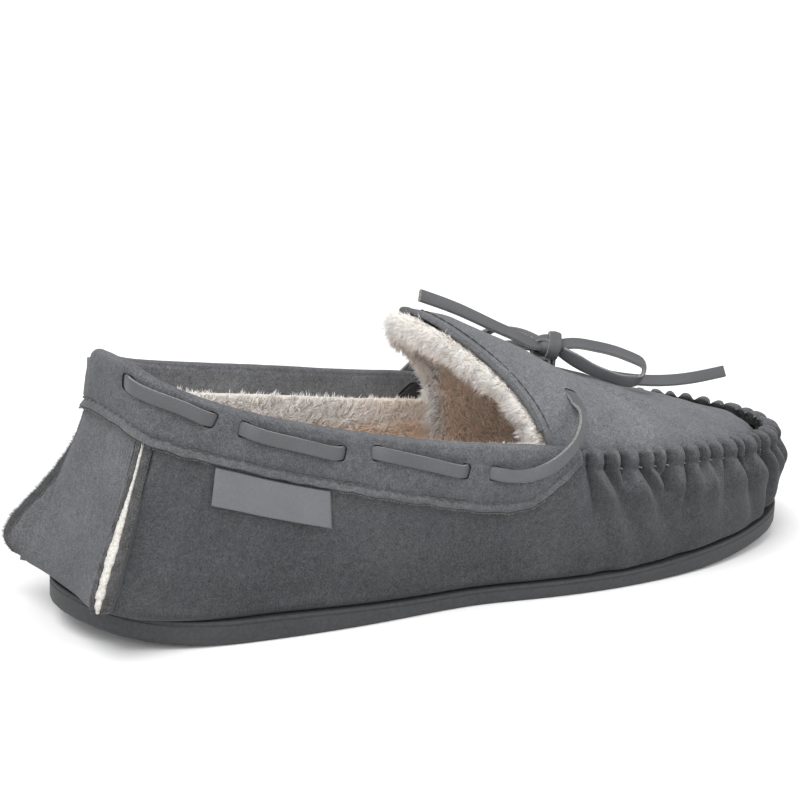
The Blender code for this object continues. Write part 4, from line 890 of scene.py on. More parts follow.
def wall_grids(places, ridge):
    """Outer and inner grids of the suede between two places, from the turned-in margin to the top.

    ridge is 1 where the toe seam gathers the suede into a ridge, and 0 for plain suede.
    """
    columns = Columns(places)
    below, drop = wall_drops(columns)
    x = columns.top[:, 0]
    gather = ridge * smooth_step(COLLAR_END_X + 0.5, COLLAR_END_X + 5.0, x)[:, None]
    thickness = SUEDE + (RIDGE_THICKNESS - SUEDE) * gather
    half = 0.5 * thickness
    crest = np.sqrt(np.clip(half ** 2 - np.maximum(half - below, 0.0) ** 2, 0.04, None))
    outer = np.where(below < half, -half + crest, 0.0)
    narrowing = (thickness - SUEDE) * smooth_step(5.6, 8.0, below)
    inner = np.where(below < half, -half - crest, -thickness + narrowing)
    along = chord_lengths(columns.top)
    inside = x > COLLAR_END_X
    if inside.any():
        first, last = along[inside][0], along[inside][-1]
        tucks, swell = pleat_field(along - first, last - first, below)
        pinch = np.exp(-((below - PINCH_DROP) / 0.9) ** 2) * (0.35 + 0.65 * np.clip(tucks, 0, 1))
        outer = outer + gather * (0.6 + 2.0 * swell - 4.8 * tucks - 0.7 * pinch)
        inner = inner + gather * smooth_step(9.0, 5.0, below) * (1.3 * tucks - 0.45 * swell)
        sink = gather * (1 - smooth_step(0.0, 3.5, below)) * (2.7 * tucks - 0.9 * swell)
    else:
        sink = 0.0 * outer
    corner = np.clip(1.0 - (columns.full[:, None] - drop) / 2.2, 0.0, 1.0)
    outer = outer - 1.5 * (1 - np.sqrt(1 - corner ** 2 * 0.999))
    outer_points = columns.at_drop(drop, outer)
    inner_points = columns.at_drop(drop, np.minimum(inner, outer - 0.35))
    wave = 0.35 * ripple(outer_points, 34.0, 11) + 0.12 * ripple(outer_points, 11.0, 12)
    settle = smooth_step(0.0, 6.0, columns.full[:, None] - drop) * smooth_step(1.0, 9.0, below)
    outer_points += (wave * settle)[..., None] * columns.normal[:, None]
    for points in (outer_points, inner_points):
        points[..., 2] -= sink
    margin_low = sole_edge(places, MARGIN_INSET)
    margin_low[:, 2] = sole_top(margin_low[:, 0]) + MARGIN_GAP
    margin_high = margin_low + SUEDE * UP
    inner_points[:, 0, 2] += SUEDE
    outer_points = np.concatenate([margin_low[:, None], outer_points], axis=1)
    inner_points = np.concatenate([margin_high[:, None], inner_points], axis=1)
    return outer_points, inner_points


def fin_reach(height, w):
    """How far a raised seam edge stands out at a height above its foot, where it is rounded in."""
    lower = np.sqrt(np.clip(1.0 - (1.0 - np.clip(height / 8.0, 0.0, 1.0)) ** 2, 0.0, 1.0))
    flare = 2.8 * np.exp(-((height - 11.0) / 12.0) ** 2) - 4.0 * smooth_step(22.0, 48.0, height)
    if w > 0:
        flare = flare + FAR_FIN_EXTRA * np.exp(-((height - 9.0) / 15.0) ** 2)
    return -0.9 + (FIN_LENGTH + 0.9 + flare) * lower


def fin_grids(w, leaf_side, wall_outer, wall_inner):
    """Columns that turn the suede out into a raised seam edge, from the edge to the wall's first column.

    leaf_side is 1 for the side wall's leaf and -1 for the heel panel's.
    """
    out, sideways = seam_frame(w)
    side = leaf_side * sideways
    column = Columns([w])
    full = column.full[0]
    drop = wall_drops(column)[1][0]
    seam = column.at_drop(drop[None])[0]
    bare = smooth_step(-0.6, 0.6, drop - collar_depth(w)[0] - 0.3)[:, None]
    gap = seam_half_gap(1.0 - drop / full)[:, None]
    frayed = 0.22 * ripple(seam, 5.0, 21 + int(10 * w + leaf_side))[:, None]
    held_back = HEEL_LEAF_BACK if w > 0 and leaf_side < 0 else 0.0
    reach = np.maximum(fin_reach(full - drop, w)[:, None] - held_back, -0.6)
    tip = -0.85 + bare * (reach + 0.85 + frayed)
    most, share_out = FIN_ROOT[leaf_side]
    root = -0.95 + bare * np.minimum(most, 0.3 + share_out * (tip + 0.85))

    def place(aside, outward):
        return seam + aside * side + outward * out

    leaf = gap + FIN_LEAF[leaf_side]
    soft = FIN_LEAF[leaf_side] / 1.75
    half_way = 0.5 * (tip + root)
    outer = [place(leaf - 0.75 * soft, tip), place(leaf - 0.3 * soft, tip - 0.15 * soft),
             place(leaf - 0.05 * soft, tip - 0.65 * soft), place(leaf + 0.08, half_way)]
    inner = [place(gap + 0.25, tip), place(gap + 0.06, tip - 0.15), place(gap, tip - 0.5),
             place(gap, half_way)]
    start_outer, start_inner = place(leaf + 0.15, root), place(gap, root - 1.4)
    aside, outward = (1.5, -1.1) if leaf_side > 0 else (0.3, 0.1)
    bend = place(leaf + aside, outward * np.maximum(root, 0.1))
    for u in np.linspace(0.0, 1.0, FIN_BLEND_COLUMNS + 1)[:-1]:
        outer.append((1 - u) ** 2 * start_outer + 2 * u * (1 - u) * bend + u ** 2 * wall_outer[1:])
        inner.append((1 - u) ** 1.5 * start_inner + (1 - (1 - u) ** 1.5) * wall_inner[1:])
    result = []
    for rows, margin in ((outer, wall_outer[0]), (inner, wall_inner[0])):
        feet = [margin - side * 0.35 * (len(rows) - k) for k in range(len(rows))]
        result.append(np.stack([np.concatenate([foot[None], row]) for foot, row in zip(feet, rows)]))
    return result


def suede_piece(name, start, finish, leaf_side, ridge, material, replaces):
    """Suede between two heel seams, with a raised edge at each."""
    turn = FIN_BLEND_W[leaf_side]
    outer, inner = wall_grids(wall_places(start + turn, finish - turn), ridge)
    head = fin_grids(start, leaf_side, outer[0], inner[0])
    tail = fin_grids(finish if finish < 1.0 else finish - 2.0, leaf_side, outer[-1], inner[-1])
    outer, inner = (np.concatenate([first, wall, last[::-1]])
                    for first, wall, last in zip(head, (outer, inner), tail))
    make_piece(name, *sheet_mesh(outer, inner), material, replaces, "suede", sharp=60.0)


def make_felt(material):
    """Felt strips between the raised edges of the heel seams."""
    for place, w in (("lateral", -HEEL_SEAM_W), ("medial", HEEL_SEAM_W)):
        out, sideways = seam_frame(w)
        column = Columns([w])
        full = column.full[0]
        drop = np.linspace(full - 1.0, collar_depth(w)[0] + 0.7, 150)
        seam = column.at_drop(drop[None])[0]
        ragged = ripple(seam, 3.0, 31) * 0.3 + ripple(seam, 1.1, 32) * 0.25
        reach = fin_reach(full - drop, w) + ragged + (0.25 if w < 0 else -0.4 - HEEL_LEAF_BACK)
        half = seam_half_gap(1.0 - drop / full) - 0.05
        swell = 1.0 + 0.2 * ripple(seam, 2.6, 33) + 0.1 * ripple(seam, 1.1, 34)
        rows = [seam + (a * half * swell)[:, None] * sideways + (reach + b)[:, None] * out
                for a, b in ((-1.0, -0.35), (-0.55, 0.0), (0.0, 0.18), (0.55, 0.0), (1.0, -0.35))]
        rows += [seam + (a * half)[:, None] * sideways - 0.6 * out for a in (1.0, -1.0)]
        make_piece("felt_strip_" + place, *tube_mesh(np.stack(rows, axis=1)), material,
                   ["heel_seam_felt_" + place], "felt", sharp=70.0)


# ---- Lace route ----
def side_lace_route(side):
    """Route of the lace on one side, from the heel to the knot: points, face directions and stand.

    The stand is how far the lace's middle is outside the suede that it lies on or passes through.
    """
    rows = [(side * w, drop, offset) for w, drop, offset in HEEL_LACE_W[side]]
    rows += [(w_at_x(x, side), drop, offset) for x, drop, offset in SIDE_LACE_X]
    route = []
    for w, drop, offset in rows:
        column = Columns(w)
        route.append((column.at_drop(np.array([[drop]]), offset)[0, 0], column.normal[0], offset))
    for k, (x, y, z) in enumerate(FREE_LACE):
        point = np.array([x, -y, z]) + MEDIAL_FREE_SHIFT if side > 0 else np.array([x, y, z])
        turned = min(k / 3.0, 1.0)
        normal = unit(np.array([0.2 + 0.5 * turned, side * (0.9 - 0.2 * turned), 0.35]))
        route.append((point, normal, FREE_STAND))
    for x, angle, depth in APRON_LACE:
        turn = math.radians(angle)
        spot = apron_w_at_x(x, turn, side)
        normal = apron_normal(spot, turn)[0]
        route.append((apron_point(spot, turn)[0] + depth * normal, normal, depth))
    rise_x = KNOT_CENTRE[0] + 1.5 * side
    crown = float(SPINE_CURVE([rise_x])[0, 0])
    for z, lean in ((crown - 1.0, 0.7), (crown + 1.4, 1.0), (KNOT_CENTRE[2] - KNOT_HALF[2] + 0.6, 1.0)):
        point = np.array([rise_x, side * 1.2 * (1.4 - lean) - 0.6, z])
        route.append((point, np.array([side * lean, 0.0, 1.0 - lean]), FREE_STAND))
    return list(zip(*route))


def lace_route(step):
    """Points, face directions and stands of the whole lace, from its lateral end at the knot to the other."""
    halves = [side_lace_route(-1), side_lace_route(1)]
    points, normals, stands = (np.array(a[::-1] + b[1:]) for a, b in zip(*halves))
    lengths = chord_lengths(points)
    places = np.linspace(0.0, lengths[-1], int(lengths[-1] / step))
    route = cubic_spline(lengths, points)(places)
    return route, unit(resample(places, lengths, normals)), np.interp(places, lengths, stands)


def runs(flags):
    """Index ranges where consecutive flags are true."""
    edges = np.flatnonzero(np.diff(np.concatenate([[0], flags.astype(int), [0]])))
    return list(zip(edges[::2], edges[1::2]))


def nearest(points, targets):
    """Distance from each point to the nearest target."""
    tree = kd_tree(targets)
    distances = [tree.find(p)[2] for p in points.reshape(-1, 3)]
    return np.array(distances).reshape(points.shape[:-1])


def slit_cutters(route, faces, crossing, wider, thicker, bevel):
    """Closed shapes for the slits where the lace crosses the suede, a little larger than the lace."""
    width, thickness = LACE_WIDTH + wider, LACE_THICKNESS + thicker
    return [tube_mesh(strap_rings(route[a:b], faces[a:b], width, thickness, bevel))
            for a, b in runs(crossing)]


# ---- Collar, apron and tongue ----
def collar_wave(columns):
    """Unevenness of the collar's lower edge."""
    return 0.3 * ripple(columns.top, 9.0, 41) + 0.35 * ripple(columns.top, 40.0, 42)


def make_collar(material, lace):
    """Folded suede collar with soft padding, a pressed stitch line and slits for the lace."""
    route, faces, stands = lace
    start, finish = w_at_x(COLLAR_END_X, -1), w_at_x(COLLAR_END_X, 1)
    places = np.linspace(start, finish, 430)
    columns = Columns(places)
    x = columns.top[:, 0]
    one = np.ones((len(places), 1))
    depth = collar_depth(places)[:, None]
    falling = (COLLAR_INNER_DEPTH_FRONT - COLLAR_INNER_DEPTH) * smooth_step(-6.0, 8.0, x)
    inner_depth = (COLLAR_INNER_DEPTH + falling)[:, None]
    centre = -0.5 * SUEDE
    inner_radius = 0.5 * SUEDE + GAP
    outer_radius = inner_radius + COLLAR_LEG
    out, back = centre + outer_radius, centre + inner_radius
    turn = np.radians(np.linspace(0.0, 180.0, 15))[None, :]
    edge = depth + collar_wave(columns)[:, None] * smooth_step(1.0, 8.0, depth)
    leg = outer_radius + (edge - outer_radius) * np.linspace(1.0, 0.0, 28)[None, 1:-1]
    above = edge - leg
    room = smooth_step(6.0, 12.0, depth)
    share = np.clip((above - STITCH_RISE) / np.maximum(edge - STITCH_RISE, 1.0), 0.0, 1.0)
    swell = np.sin(math.pi * share) ** 0.8
    pressed = np.exp(-((above - STITCH_RISE) / 0.65) ** 2)
    leg_offset = out + room * (0.55 * swell - 0.5 * pressed + 0.45 * smooth_step(2.4, 0.0, above))
    drop = np.concatenate([
        edge + 0.0, edge - 0.35, leg, outer_radius - outer_radius * np.sin(turn) * one,
        outer_radius + (inner_depth - outer_radius) * np.linspace(0.15, 1.0, 6)[None, :],
        inner_depth, outer_radius - inner_radius * np.sin(turn[:, ::-1]) * one,
        outer_radius + (edge - outer_radius) * np.linspace(0.1, 1.0, 8)[None, :]], axis=1)
    offset = np.concatenate([
        (out - 0.75) * one, (out + 0.25 * room), leg_offset, centre + outer_radius * np.cos(turn) * one,
        (centre - outer_radius) * np.ones((len(places), 6)), (centre - inner_radius) * one,
        centre + inner_radius * np.cos(turn[:, ::-1]) * one, back * np.ones((len(places), 8))], axis=1)
    skin = 2 + leg.shape[1] + turn.shape[1]
    grid = columns.at_drop(drop, offset)
    soft = 0.28 * ripple(grid, 21.0, 43) + 0.12 * ripple(grid, 7.0, 44)
    soft *= room * smooth_step(0.3, 2.0, edge - drop)
    soft[:, skin:] = 0.0
    reach = offset + soft
    press = 1 - smooth_step(2.3, 5.0, nearest(grid[:, :skin], route[stands > 1.9]))
    reach[:, :skin] += (np.minimum(reach[:, :skin], out - 0.1) - reach[:, :skin]) * press
    grid = columns.at_drop(drop, reach)
    obj = make_piece("collar_band", *tube_mesh(grid), material, ["collar"], "suede", sharp=60.0)
    crossing = (stands < LACE_OUT - 0.3) & (stands > LACE_IN + 0.1) & (route[:, 0] < 0.0)
    cut_with(obj, slit_cutters(route, faces, crossing, 1.0, 1.1, 0.7))


def stitch_mesh(line, face, radii):
    """One stitch along a line, raised towards face, with its radius at each point."""
    across = unit(np.cross(unit(np.gradient(line, axis=0)), face))
    return tube_mesh(round_rings(line, across, face, radii[:, None], 8))


def stitch_row(name, points, normals, length, gap, radius, material):
    """Row of short raised stitches along a line, each a capsule half sunk in the surface."""
    lengths = chord_lengths(points)
    count = int(lengths[-1] / (length + gap))
    parts = []
    for begin in np.linspace(0.0, lengths[-1], count + 1)[:-1]:
        places = np.linspace(begin, begin + length, 5)
        line = resample(places, lengths, points)
        face = unit(resample(places, lengths, normals))
        line += np.array([-0.3, 0.05, 0.12, 0.05, -0.3])[:, None] * radius * face
        parts.append(stitch_mesh(line, face, radius * np.array([0.35, 0.9, 1.0, 0.9, 0.35])))
    make_piece(name, *join_meshes(parts), material, sharp=80.0)


def make_collar_stitching(material):
    """Thread line above the collar's lower edge."""
    places = np.linspace(w_at_x(2.0, -1), w_at_x(2.0, 1), 900)
    columns = Columns(places)
    drop = (collar_depth(places) - STITCH_RISE)[:, None]
    out = GAP + COLLAR_LEG - 0.28
    points = columns.at_drop(drop, out)[:, 0]
    stitch_row("collar_stitching", points, columns.normal, 2.5, 0.9, 0.34, material)


def apron_grid(parts, angles):
    """Outer face and normals of the apron: parts run from 0 at the tongue's edge to 1 at the toe.

    Angles run over the arch, from 0 at the lateral edge to pi at the medial one.
    """
    points, normals = [], []
    for side, picked in ((-1, angles[angles <= 0.5 * math.pi]), (1, angles[angles > 0.5 * math.pi])):
        fold = picked if side < 0 else math.pi - picked
        start = JUNCTION[side]
        places = side * (start + (1.0 - start) * parts)
        places = np.where(places >= 1.0, 1.0 - 1e-9, places)
        points.append(np.stack([apron_point(places, a) for a in fold], axis=1))
        normals.append(np.stack([apron_normal(places, a) for a in fold], axis=1))
    points, normals = (np.concatenate(rows, axis=1) for rows in (points, normals))
    crown = np.searchsorted(angles, 0.5 * math.pi + 1e-9)
    normals[:, crown - 1] = unit(normals[:, crown - 2] + normals[:, crown])
    normals[-1] = unit(normals[-1] + normals[-1, ::-1])
    points[-1, crown:] = points[-1, :crown - 1][::-1] if len(angles) % 2 else points[-1, :crown][::-1]
    return points, normals


def make_apron(material, lace):
    """Suede apron and tongue with edge puckers, a shallow crease and holes for the lace."""
    route, faces, stands = lace
    parts = np.linspace(0.0, 1.0, 190)
    angles = np.linspace(0.0, math.pi, 141)
    points, normals = apron_grid(parts, angles)
    fold = np.minimum(angles, math.pi - angles)
    edge = chord_lengths(top_edge(np.linspace(-1.0, -JUNCTION[-1], 400)))[-1]
    along = (1.0 - parts) * edge
    inward = np.tile(38.0 * fold, (len(parts), 1))
    tucks, _ = pleat_field(along + 3.0, 2 * edge + 6.0, inward + PINCH_DROP)
    rise = -0.85 * tucks * smooth_step(0.08, 0.22, parts)[:, None]
    crease_start, crease_end = np.array([38.0, -8.0]), np.array([66.0, -26.0])
    run = unit(crease_end - crease_start)
    offset = points[..., :2] - crease_start
    share = (offset @ run) / np.linalg.norm(crease_end - crease_start)
    away = offset @ np.array([-run[1], run[0]])
    fade = smooth_step(-0.1, 0.3, share) * smooth_step(1.15, 0.7, share)
    rise += fade * (-2.6 * np.exp(-(away / 2.6) ** 2) + 1.3 * np.exp(-((away + 6.0) / 4.0) ** 2))
    rise += 0.45 * ripple(points, 36.0, 51) + 0.16 * ripple(points, 12.0, 52)
    rise *= smooth_step(0.0, 0.03, parts)[:, None]
    outer = points + rise[..., None] * normals
    inner = points - SUEDE * normals + 0.8 * rise[..., None] * normals
    obj = make_piece("apron_suede", *sheet_mesh(outer, inner, end_cap=False), material, ["apron"], "suede",
                     sharp=60.0, merge=0.002)
    crossing = (stands < 1.35) & (stands > -2.7) & (route[:, 0] > 20.0)
    cutters = slit_cutters(route, faces, crossing, 0.8, 0.7, 0.6)
    x, y = CROWN_HOLE_HALF
    corners = [(x * math.cos(a), y * math.sin(a)) for a in np.linspace(0, 2 * math.pi, 17)[:-1]]
    cutters.append(tube_mesh(np.array([[(KNOT_CENTRE[0] + a, KNOT_CENTRE[1] + b, z) for a, b in corners]
                                       for z in (KNOT_CENTRE[2] - 14.0, KNOT_CENTRE[2])])))
    cut_with(obj, cutters)


def make_tongue_binding(material, thread):
    """Turned suede edge along the back of the tongue, and its stitches."""
    angles = np.radians(np.linspace(15.0, 165.0, 181))
    edge, normal = apron_grid(np.array([0.0, 0.012]), angles)
    inward = unit(edge[0] - edge[1])
    middle = edge[0] - 0.5 * SUEDE * normal[0] + EDGE_ROLL_STAND * inward
    tangent = unit(np.gradient(middle, axis=0))
    up = unit(np.cross(np.cross(tangent, normal[0]), tangent))
    across = turned_to(np.cross(up, tangent), inward)
    radius = EDGE_ROLL_RADIUS * (1.0 + 0.07 * ripple(middle, 6.0, 53))[:, None]
    rings = round_rings(middle, 1.05 * across, 1.1 * up, radius, 16)
    make_piece("tongue_binding", *tube_mesh(rings), material, ["tongue_edge_roll"], "suede", sharp=70.0)
    (_, line), (_, normal) = apron_grid(np.array([0.0, 0.016]), angles)
    stitch_row("tongue_stitching", line + 0.3 * normal, normal, 2.8, 0.5, 0.26, thread)


# ---- Fur ----
def fur_shades():
    """Blade materials from the tan of the deep pile to the cream of its tips; the deep tan is partly the
    undercoat's own colour and partly painted shade.
    """
    tan, cream = np.array([0.97, 0.71, 0.525]), np.array([0.975, 0.96, 0.935])
    shades = []
    for k, part in enumerate(np.linspace(0.0, 1.0, FUR_SHADE_COUNT)):
        material = new_material(f"fur_shade_{k}", 0.75, 0.5, (1.0, 0.97, 0.93), specular=0.25)
        paint(material, tan * (1 - part) + cream * part)
        shades.append(material)
    return shades


def scatter(grid, count, weight, rng):
    """Random spots over a grid surface: positions, facing and their place in the grid from 0 to 1."""
    across = grid[1:, 1:] - grid[:-1, :-1]
    down = grid[1:, :-1] - grid[:-1, 1:]
    cross = np.cross(across, down)
    area = np.linalg.norm(cross, axis=2) * weight[:-1, :-1]
    chance = np.cumsum(area.ravel())
    picked = np.searchsorted(chance, rng.uniform(0.0, chance[-1], count))
    picked = np.minimum(picked, area.size - 1)
    i, j = np.unravel_index(picked, area.shape)
    u, v = rng.uniform(size=(2, count, 1))
    spots = ((1 - u) * (1 - v) * grid[i, j] + u * (1 - v) * grid[i + 1, j]
             + (1 - u) * v * grid[i, j + 1] + u * v * grid[i + 1, j + 1])
    places = np.stack([(i + u[:, 0]) / area.shape[0], (j + v[:, 0]) / area.shape[1]], axis=1)
    return spots, unit(cross[i, j]), places


def make_fur(name, roots, facing, flow, lengths, shade, shades, seed, thick=0.16, clump=3.4, pull=0.4):
    """One piece of closed tapered blades, drawn together into locks.

    A blade has two rings of three corners and a tip. shade runs from 0, the first of shades, to 1, the last.
    """
    rng = np.random.default_rng(seed)
    count = len(roots)
    centres = roots[rng.choice(count, max(8, int(count / (1.3 * clump ** 2))), replace=False)]
    tree = kd_tree(centres)
    own = np.array([tree.find(root)[1] for root in roots])
    lean = unit(rng.normal(size=(len(centres), 3)))[own]
    lock_tip = centres[own] + (lengths * rng.uniform(0.85, 1.1, len(centres))[own])[:, None] * unit(
        0.8 * facing + flow + 0.45 * lean)
    scatter_way = unit(rng.normal(size=(count, 3)))
    first = unit(facing + 0.35 * flow + 0.35 * scatter_way)
    length = lengths * rng.uniform(0.7, 1.15, count)
    free_tip = roots + length[:, None] * unit(0.75 * facing + flow + 0.5 * scatter_way + 0.3 * lean)
    tip = (1 - pull) * free_tip + pull * lock_tip
    middle = roots + 0.5 * length[:, None] * first
    middle = 0.6 * middle + 0.4 * 0.5 * (roots + tip)
    side = unit(np.cross(tip - roots, scatter_way))
    other = unit(np.cross(tip - roots, side))
    radius = thick * rng.uniform(0.75, 1.25, count)[:, None]
    spread = [math.cos(a) * side + 0.7 * math.sin(a) * other for a in (0.0, 2.0944, 4.1888)]
    corners = [roots + radius * s for s in spread] + [middle + 0.8 * radius * s for s in spread] + [tip]
    points = np.stack(corners, axis=1).reshape(-1, 3)
    base = (np.arange(count) * 7)[:, None]
    blade = [0, 1, 4, 3, 1, 2, 5, 4, 2, 0, 3, 5] + [3, 4, 6, 4, 5, 6, 5, 3, 6] + [2, 1, 0]
    loops = base + np.array(blade)
    sizes = np.tile([4, 4, 4, 3, 3, 3, 3], count)
    mesh = bpy.data.meshes.new(name)
    mesh.vertices.add(len(points))
    mesh.vertices.foreach_set("co", ((points + SHIFT) * MM).ravel())
    mesh.loops.add(loops.size)
    mesh.loops.foreach_set("vertex_index", loops.ravel().astype(np.int32))
    mesh.polygons.add(len(sizes))
    mesh.polygons.foreach_set("loop_start", np.concatenate([[0], np.cumsum(sizes)[:-1]]).astype(np.int32))
    level = np.clip(shade + rng.uniform(-0.14, 0.14, count), 0.0, 1.0) * (len(shades) - 1)
    tip_level = np.rint(level).astype(int)
    # Root faces a step darker than the tip: partly the pile's darker undercoat, partly painted shade at its
    # base.
    root_level = np.maximum(np.rint(level - 1.2).astype(int), 0)
    levels = np.stack([root_level] * 3 + [tip_level] * 3 + [root_level], axis=1)
    mesh.polygons.foreach_set("material_index", levels.ravel().astype(np.int32))
    mesh.polygons.foreach_set("use_smooth", np.ones(len(sizes), dtype=bool))
    for material in shades:
        mesh.materials.append(material)
    mesh.update(calc_edges=True)
    mesh.validate()
    finish_piece(add_object(name, mesh))


def quarter_grid(start, finish, columns, rows, offset, low_lift, high_drop):
    """Grid over the lining of the sides, from near the footbed to under the collar's turned leg.

    Gives the grid, its depths below the top edge and its columns.
    """
    places = np.linspace(start, finish, columns)
    column = Columns(places)
    low = column.drop_at_height(footbed_top(column.bottom[:, 0]) + low_lift)[:, None]
    drop = low + (high_drop - low) * np.linspace(0.0, 1.0, rows)[None, :]
    grid = column.at_drop(drop, offset)
    if offset < -5.0:
        lumps = 0.5 * ripple(grid, 22.0, 61) + 0.2 * ripple(grid, 8.0, 62)
        grid = grid - np.maximum(lumps, -0.9)[..., None] * column.normal[:, None]
    return grid, drop, column


def make_quarter_fur(shades, base_material):
    """Backing and pile of the faux fur along the sides and round the heel."""
    start, finish = w_at_x(JUNCTION_X + 4.0, -1), w_at_x(JUNCTION_X + 4.0, 1)
    outer, _, _ = quarter_grid(start, finish, 260, 30, -LINING_OFFSET, -2.0, 9.5)
    inner, _, _ = quarter_grid(start, finish, 260, 30, -LINING_OFFSET - 4.2, -2.0, 9.7)
    make_piece("quarter_lining_backing", *sheet_mesh(outer, inner), base_material, ["quarter_lining"], "fur",
               sharp=70.0)
    count, rows = 200, 40
    for place, begin, end, seed in (("lateral", start, 0.0, 62), ("medial", 0.0, finish, 63)):
        rng = np.random.default_rng(seed)
        grid, drop, column = quarter_grid(begin, end, count, rows, -LINING_OFFSET - 3.6, -1.0, 9.6)
        below = drop - 9.5
        weight = 0.55 + 1.6 * smooth_step(26.0, 6.0, below)
        roots, facing, places = scatter(grid, SIDE_BLADES, weight, rng)
        i = np.clip((places[:, 0] * (count - 1)).astype(int), 0, count - 1)
        j = np.clip((places[:, 1] * (rows - 1)).astype(int), 0, rows - 1)
        facing = turned_to(facing, -column.normal[i])
        depth = below[i, j]
        rise = (0.35 + 0.55 * smooth_step(9.0, 0.0, depth))[:, None]
        lengths = 4.4 + 0.5 * ripple(roots, 14.0, 64) - 0.6 * smooth_step(3.0, 0.0, depth)
        # Tan lower down and towards the toe: partly the undercoat's own colour, partly painted shade deep
        # inside the shoe.
        shade = 0.97 - 0.78 * smooth_step(7.5, 14.0, depth + 2.5 * ripple(roots, 13.0, 65))
        shade -= 0.40 * smooth_step(-45.0, 5.0, roots[:, 0]) * (1 - smooth_step(0.0, 6.0, -depth))
        shade = np.clip(shade, 0.0, 1.0)
        make_fur("quarter_fur_" + place, roots, facing, rise * UP, lengths, shade, shades, seed)


def vamp_grid(rows_wall, rows_top, below, start_part, finish_part, columns, low_angle=30.0):
    """Grid over the lining of the vamp, from the footbed up one side, over the arch and down the other.

    below is its depth under the apron; low_angle, in degrees, is where its rows start on the arch.
    """
    halves = []
    share = np.linspace(0.0, 1.0, rows_wall)
    for side in (-1, 1):
        parts = np.linspace(start_part, finish_part, columns)
        places = side * np.minimum(JUNCTION[side] + (1.0 - JUNCTION[side]) * parts, 1.0 - 1e-6)
        column = Columns(places)
        low = column.drop_at_height(footbed_top(column.bottom[:, 0]) - 1.0)[:, None]
        high = column.drop_at_height(column.top[:, 2] - 17.0)[:, None]
        drop = low + (high - low) * share[None, :]
        wall = column.at_drop(drop, -LINING_OFFSET - 1.3 * share ** 2 - (below - 4.5))
        top = np.stack([apron_point(places, a) - below * apron_normal(places, a)
                        for a in np.radians(np.linspace(low_angle, 90.0, rows_top))], axis=1)
        halves.append(np.concatenate([wall, top], axis=1))
    halves[1] = halves[1][:, ::-1]
    halves[0][:, -1] = halves[1][:, 0] = 0.5 * (halves[0][:, -1] + halves[1][:, 0])
    return np.concatenate([halves[0], halves[1][:, 1:]], axis=1)


def make_vamp_fur(shades, base_material):
    """Backing and pile of the faux fur under the apron, with a full rim along the tongue's edge."""
    under = SUEDE + 2 * LACE_CLEARANCE + LACE_THICKNESS + 0.7
    outer = vamp_grid(12, 26, under, 0.032, 0.97, 120)
    inner = vamp_grid(12, 26, under + 3.8, 0.032, 0.97, 120)
    make_piece("vamp_lining_backing", *sheet_mesh(outer, inner), base_material, ["vamp_lining"], "fur",
               sharp=70.0)
    rng = np.random.default_rng(71)
    grid = vamp_grid(16, 34, under + 3.2, 0.0, 0.8, 150)
    part = np.linspace(0.0, 0.8, 150)[:, None] * np.ones((1, grid.shape[1]))
    weight = 0.35 + 2.6 * smooth_step(0.34, 0.06, part)
    roots, facing, places = scatter(grid, VAMP_BLADES, weight, rng)
    facing = turned_to(facing, np.array([30.0, 0.0, 36.0]) - roots)
    depth = places[:, 0] * 0.8
    combed = -(0.25 + 0.95 * smooth_step(0.1, 0.0, depth))[:, None] * AHEAD
    lengths = 4.8 + 0.5 * ripple(roots, 14.0, 72)
    # Tan further in from the tongue's edge: partly the undercoat's own colour, partly painted shade deep in
    # the vamp.
    shade = 0.95 - 0.78 * smooth_step(0.02, 0.06, depth + 0.014 * ripple(roots, 12.0, 73))
    make_fur("vamp_fur", roots, facing, combed, lengths, np.clip(shade, 0.0, 1.0), shades, 74, thick=0.19)
    make_rim_fur(shades)


def make_rim_fur(shades):
    """Full rim of pile that wells out from under the tongue's edge, all round the mouth of the vamp."""
    rng = np.random.default_rng(75)
    depths = np.linspace(SUEDE + 1.1, RIM_DEPTH, 7)
    band = np.stack([vamp_grid(16, 40, depth, 0.0, 0.02, 5, RIM_LOW_ANGLE)[0] for depth in depths])
    level = np.linspace(0.0, 1.0, len(depths))[:, None]
    high = np.maximum(band[..., 2], np.concatenate([band[:, 1:, 2], band[:, -1:, 2]], axis=1))
    weight = np.where(level <= 0.34 + 0.66 * smooth_step(30.0, 78.0, high), 1.0, 0.02)
    # Near the footbed, blades that start just under the apron would come out through the suede.
    weight *= np.where((level < 0.3) & (high < 36.0), 0.0, 1.0)
    roots, _, places = scatter(band, RIM_BLADES, weight, rng)
    depth = places[:, 0]
    inward = unit(np.array([-6.0, 0.0, 40.0]) - roots) * np.array([0.3, 1.0, 1.0])
    rise = 0.25 * smooth_step(50.0, 70.0, roots[:, 2])[:, None]
    facing = unit(-AHEAD - rise * inward + 0.9 * smooth_step(0.45, 1.0, depth)[:, None] * inward)
    ahead = rng.uniform(-1.0, 0.6, len(roots)) + 1.4 * depth * rng.uniform(0.0, 1.0, len(roots))
    roots = roots + ahead[:, None] * AHEAD
    lengths = 5.7 + 1.4 * ripple(roots, 12.0, 76) + rng.uniform(-1.2, 0.8, len(roots))
    lengths += 2.6 * smooth_step(78.0, 88.0, roots[:, 2]) - 1.5 * smooth_step(0.35, 0.0, depth)
    # Deeper rows under the tongue darker: partly the undercoat's own colour, partly painted shade under the
    # apron's edge.
    shade = 0.98 - 0.10 * rng.uniform(size=len(roots)) - 0.35 * smooth_step(0.75, 1.0, depth)
    make_fur("tongue_rim_fur", roots, facing, 0.25 * inward, lengths, shade, shades, 77, clump=4.0, pull=0.35)


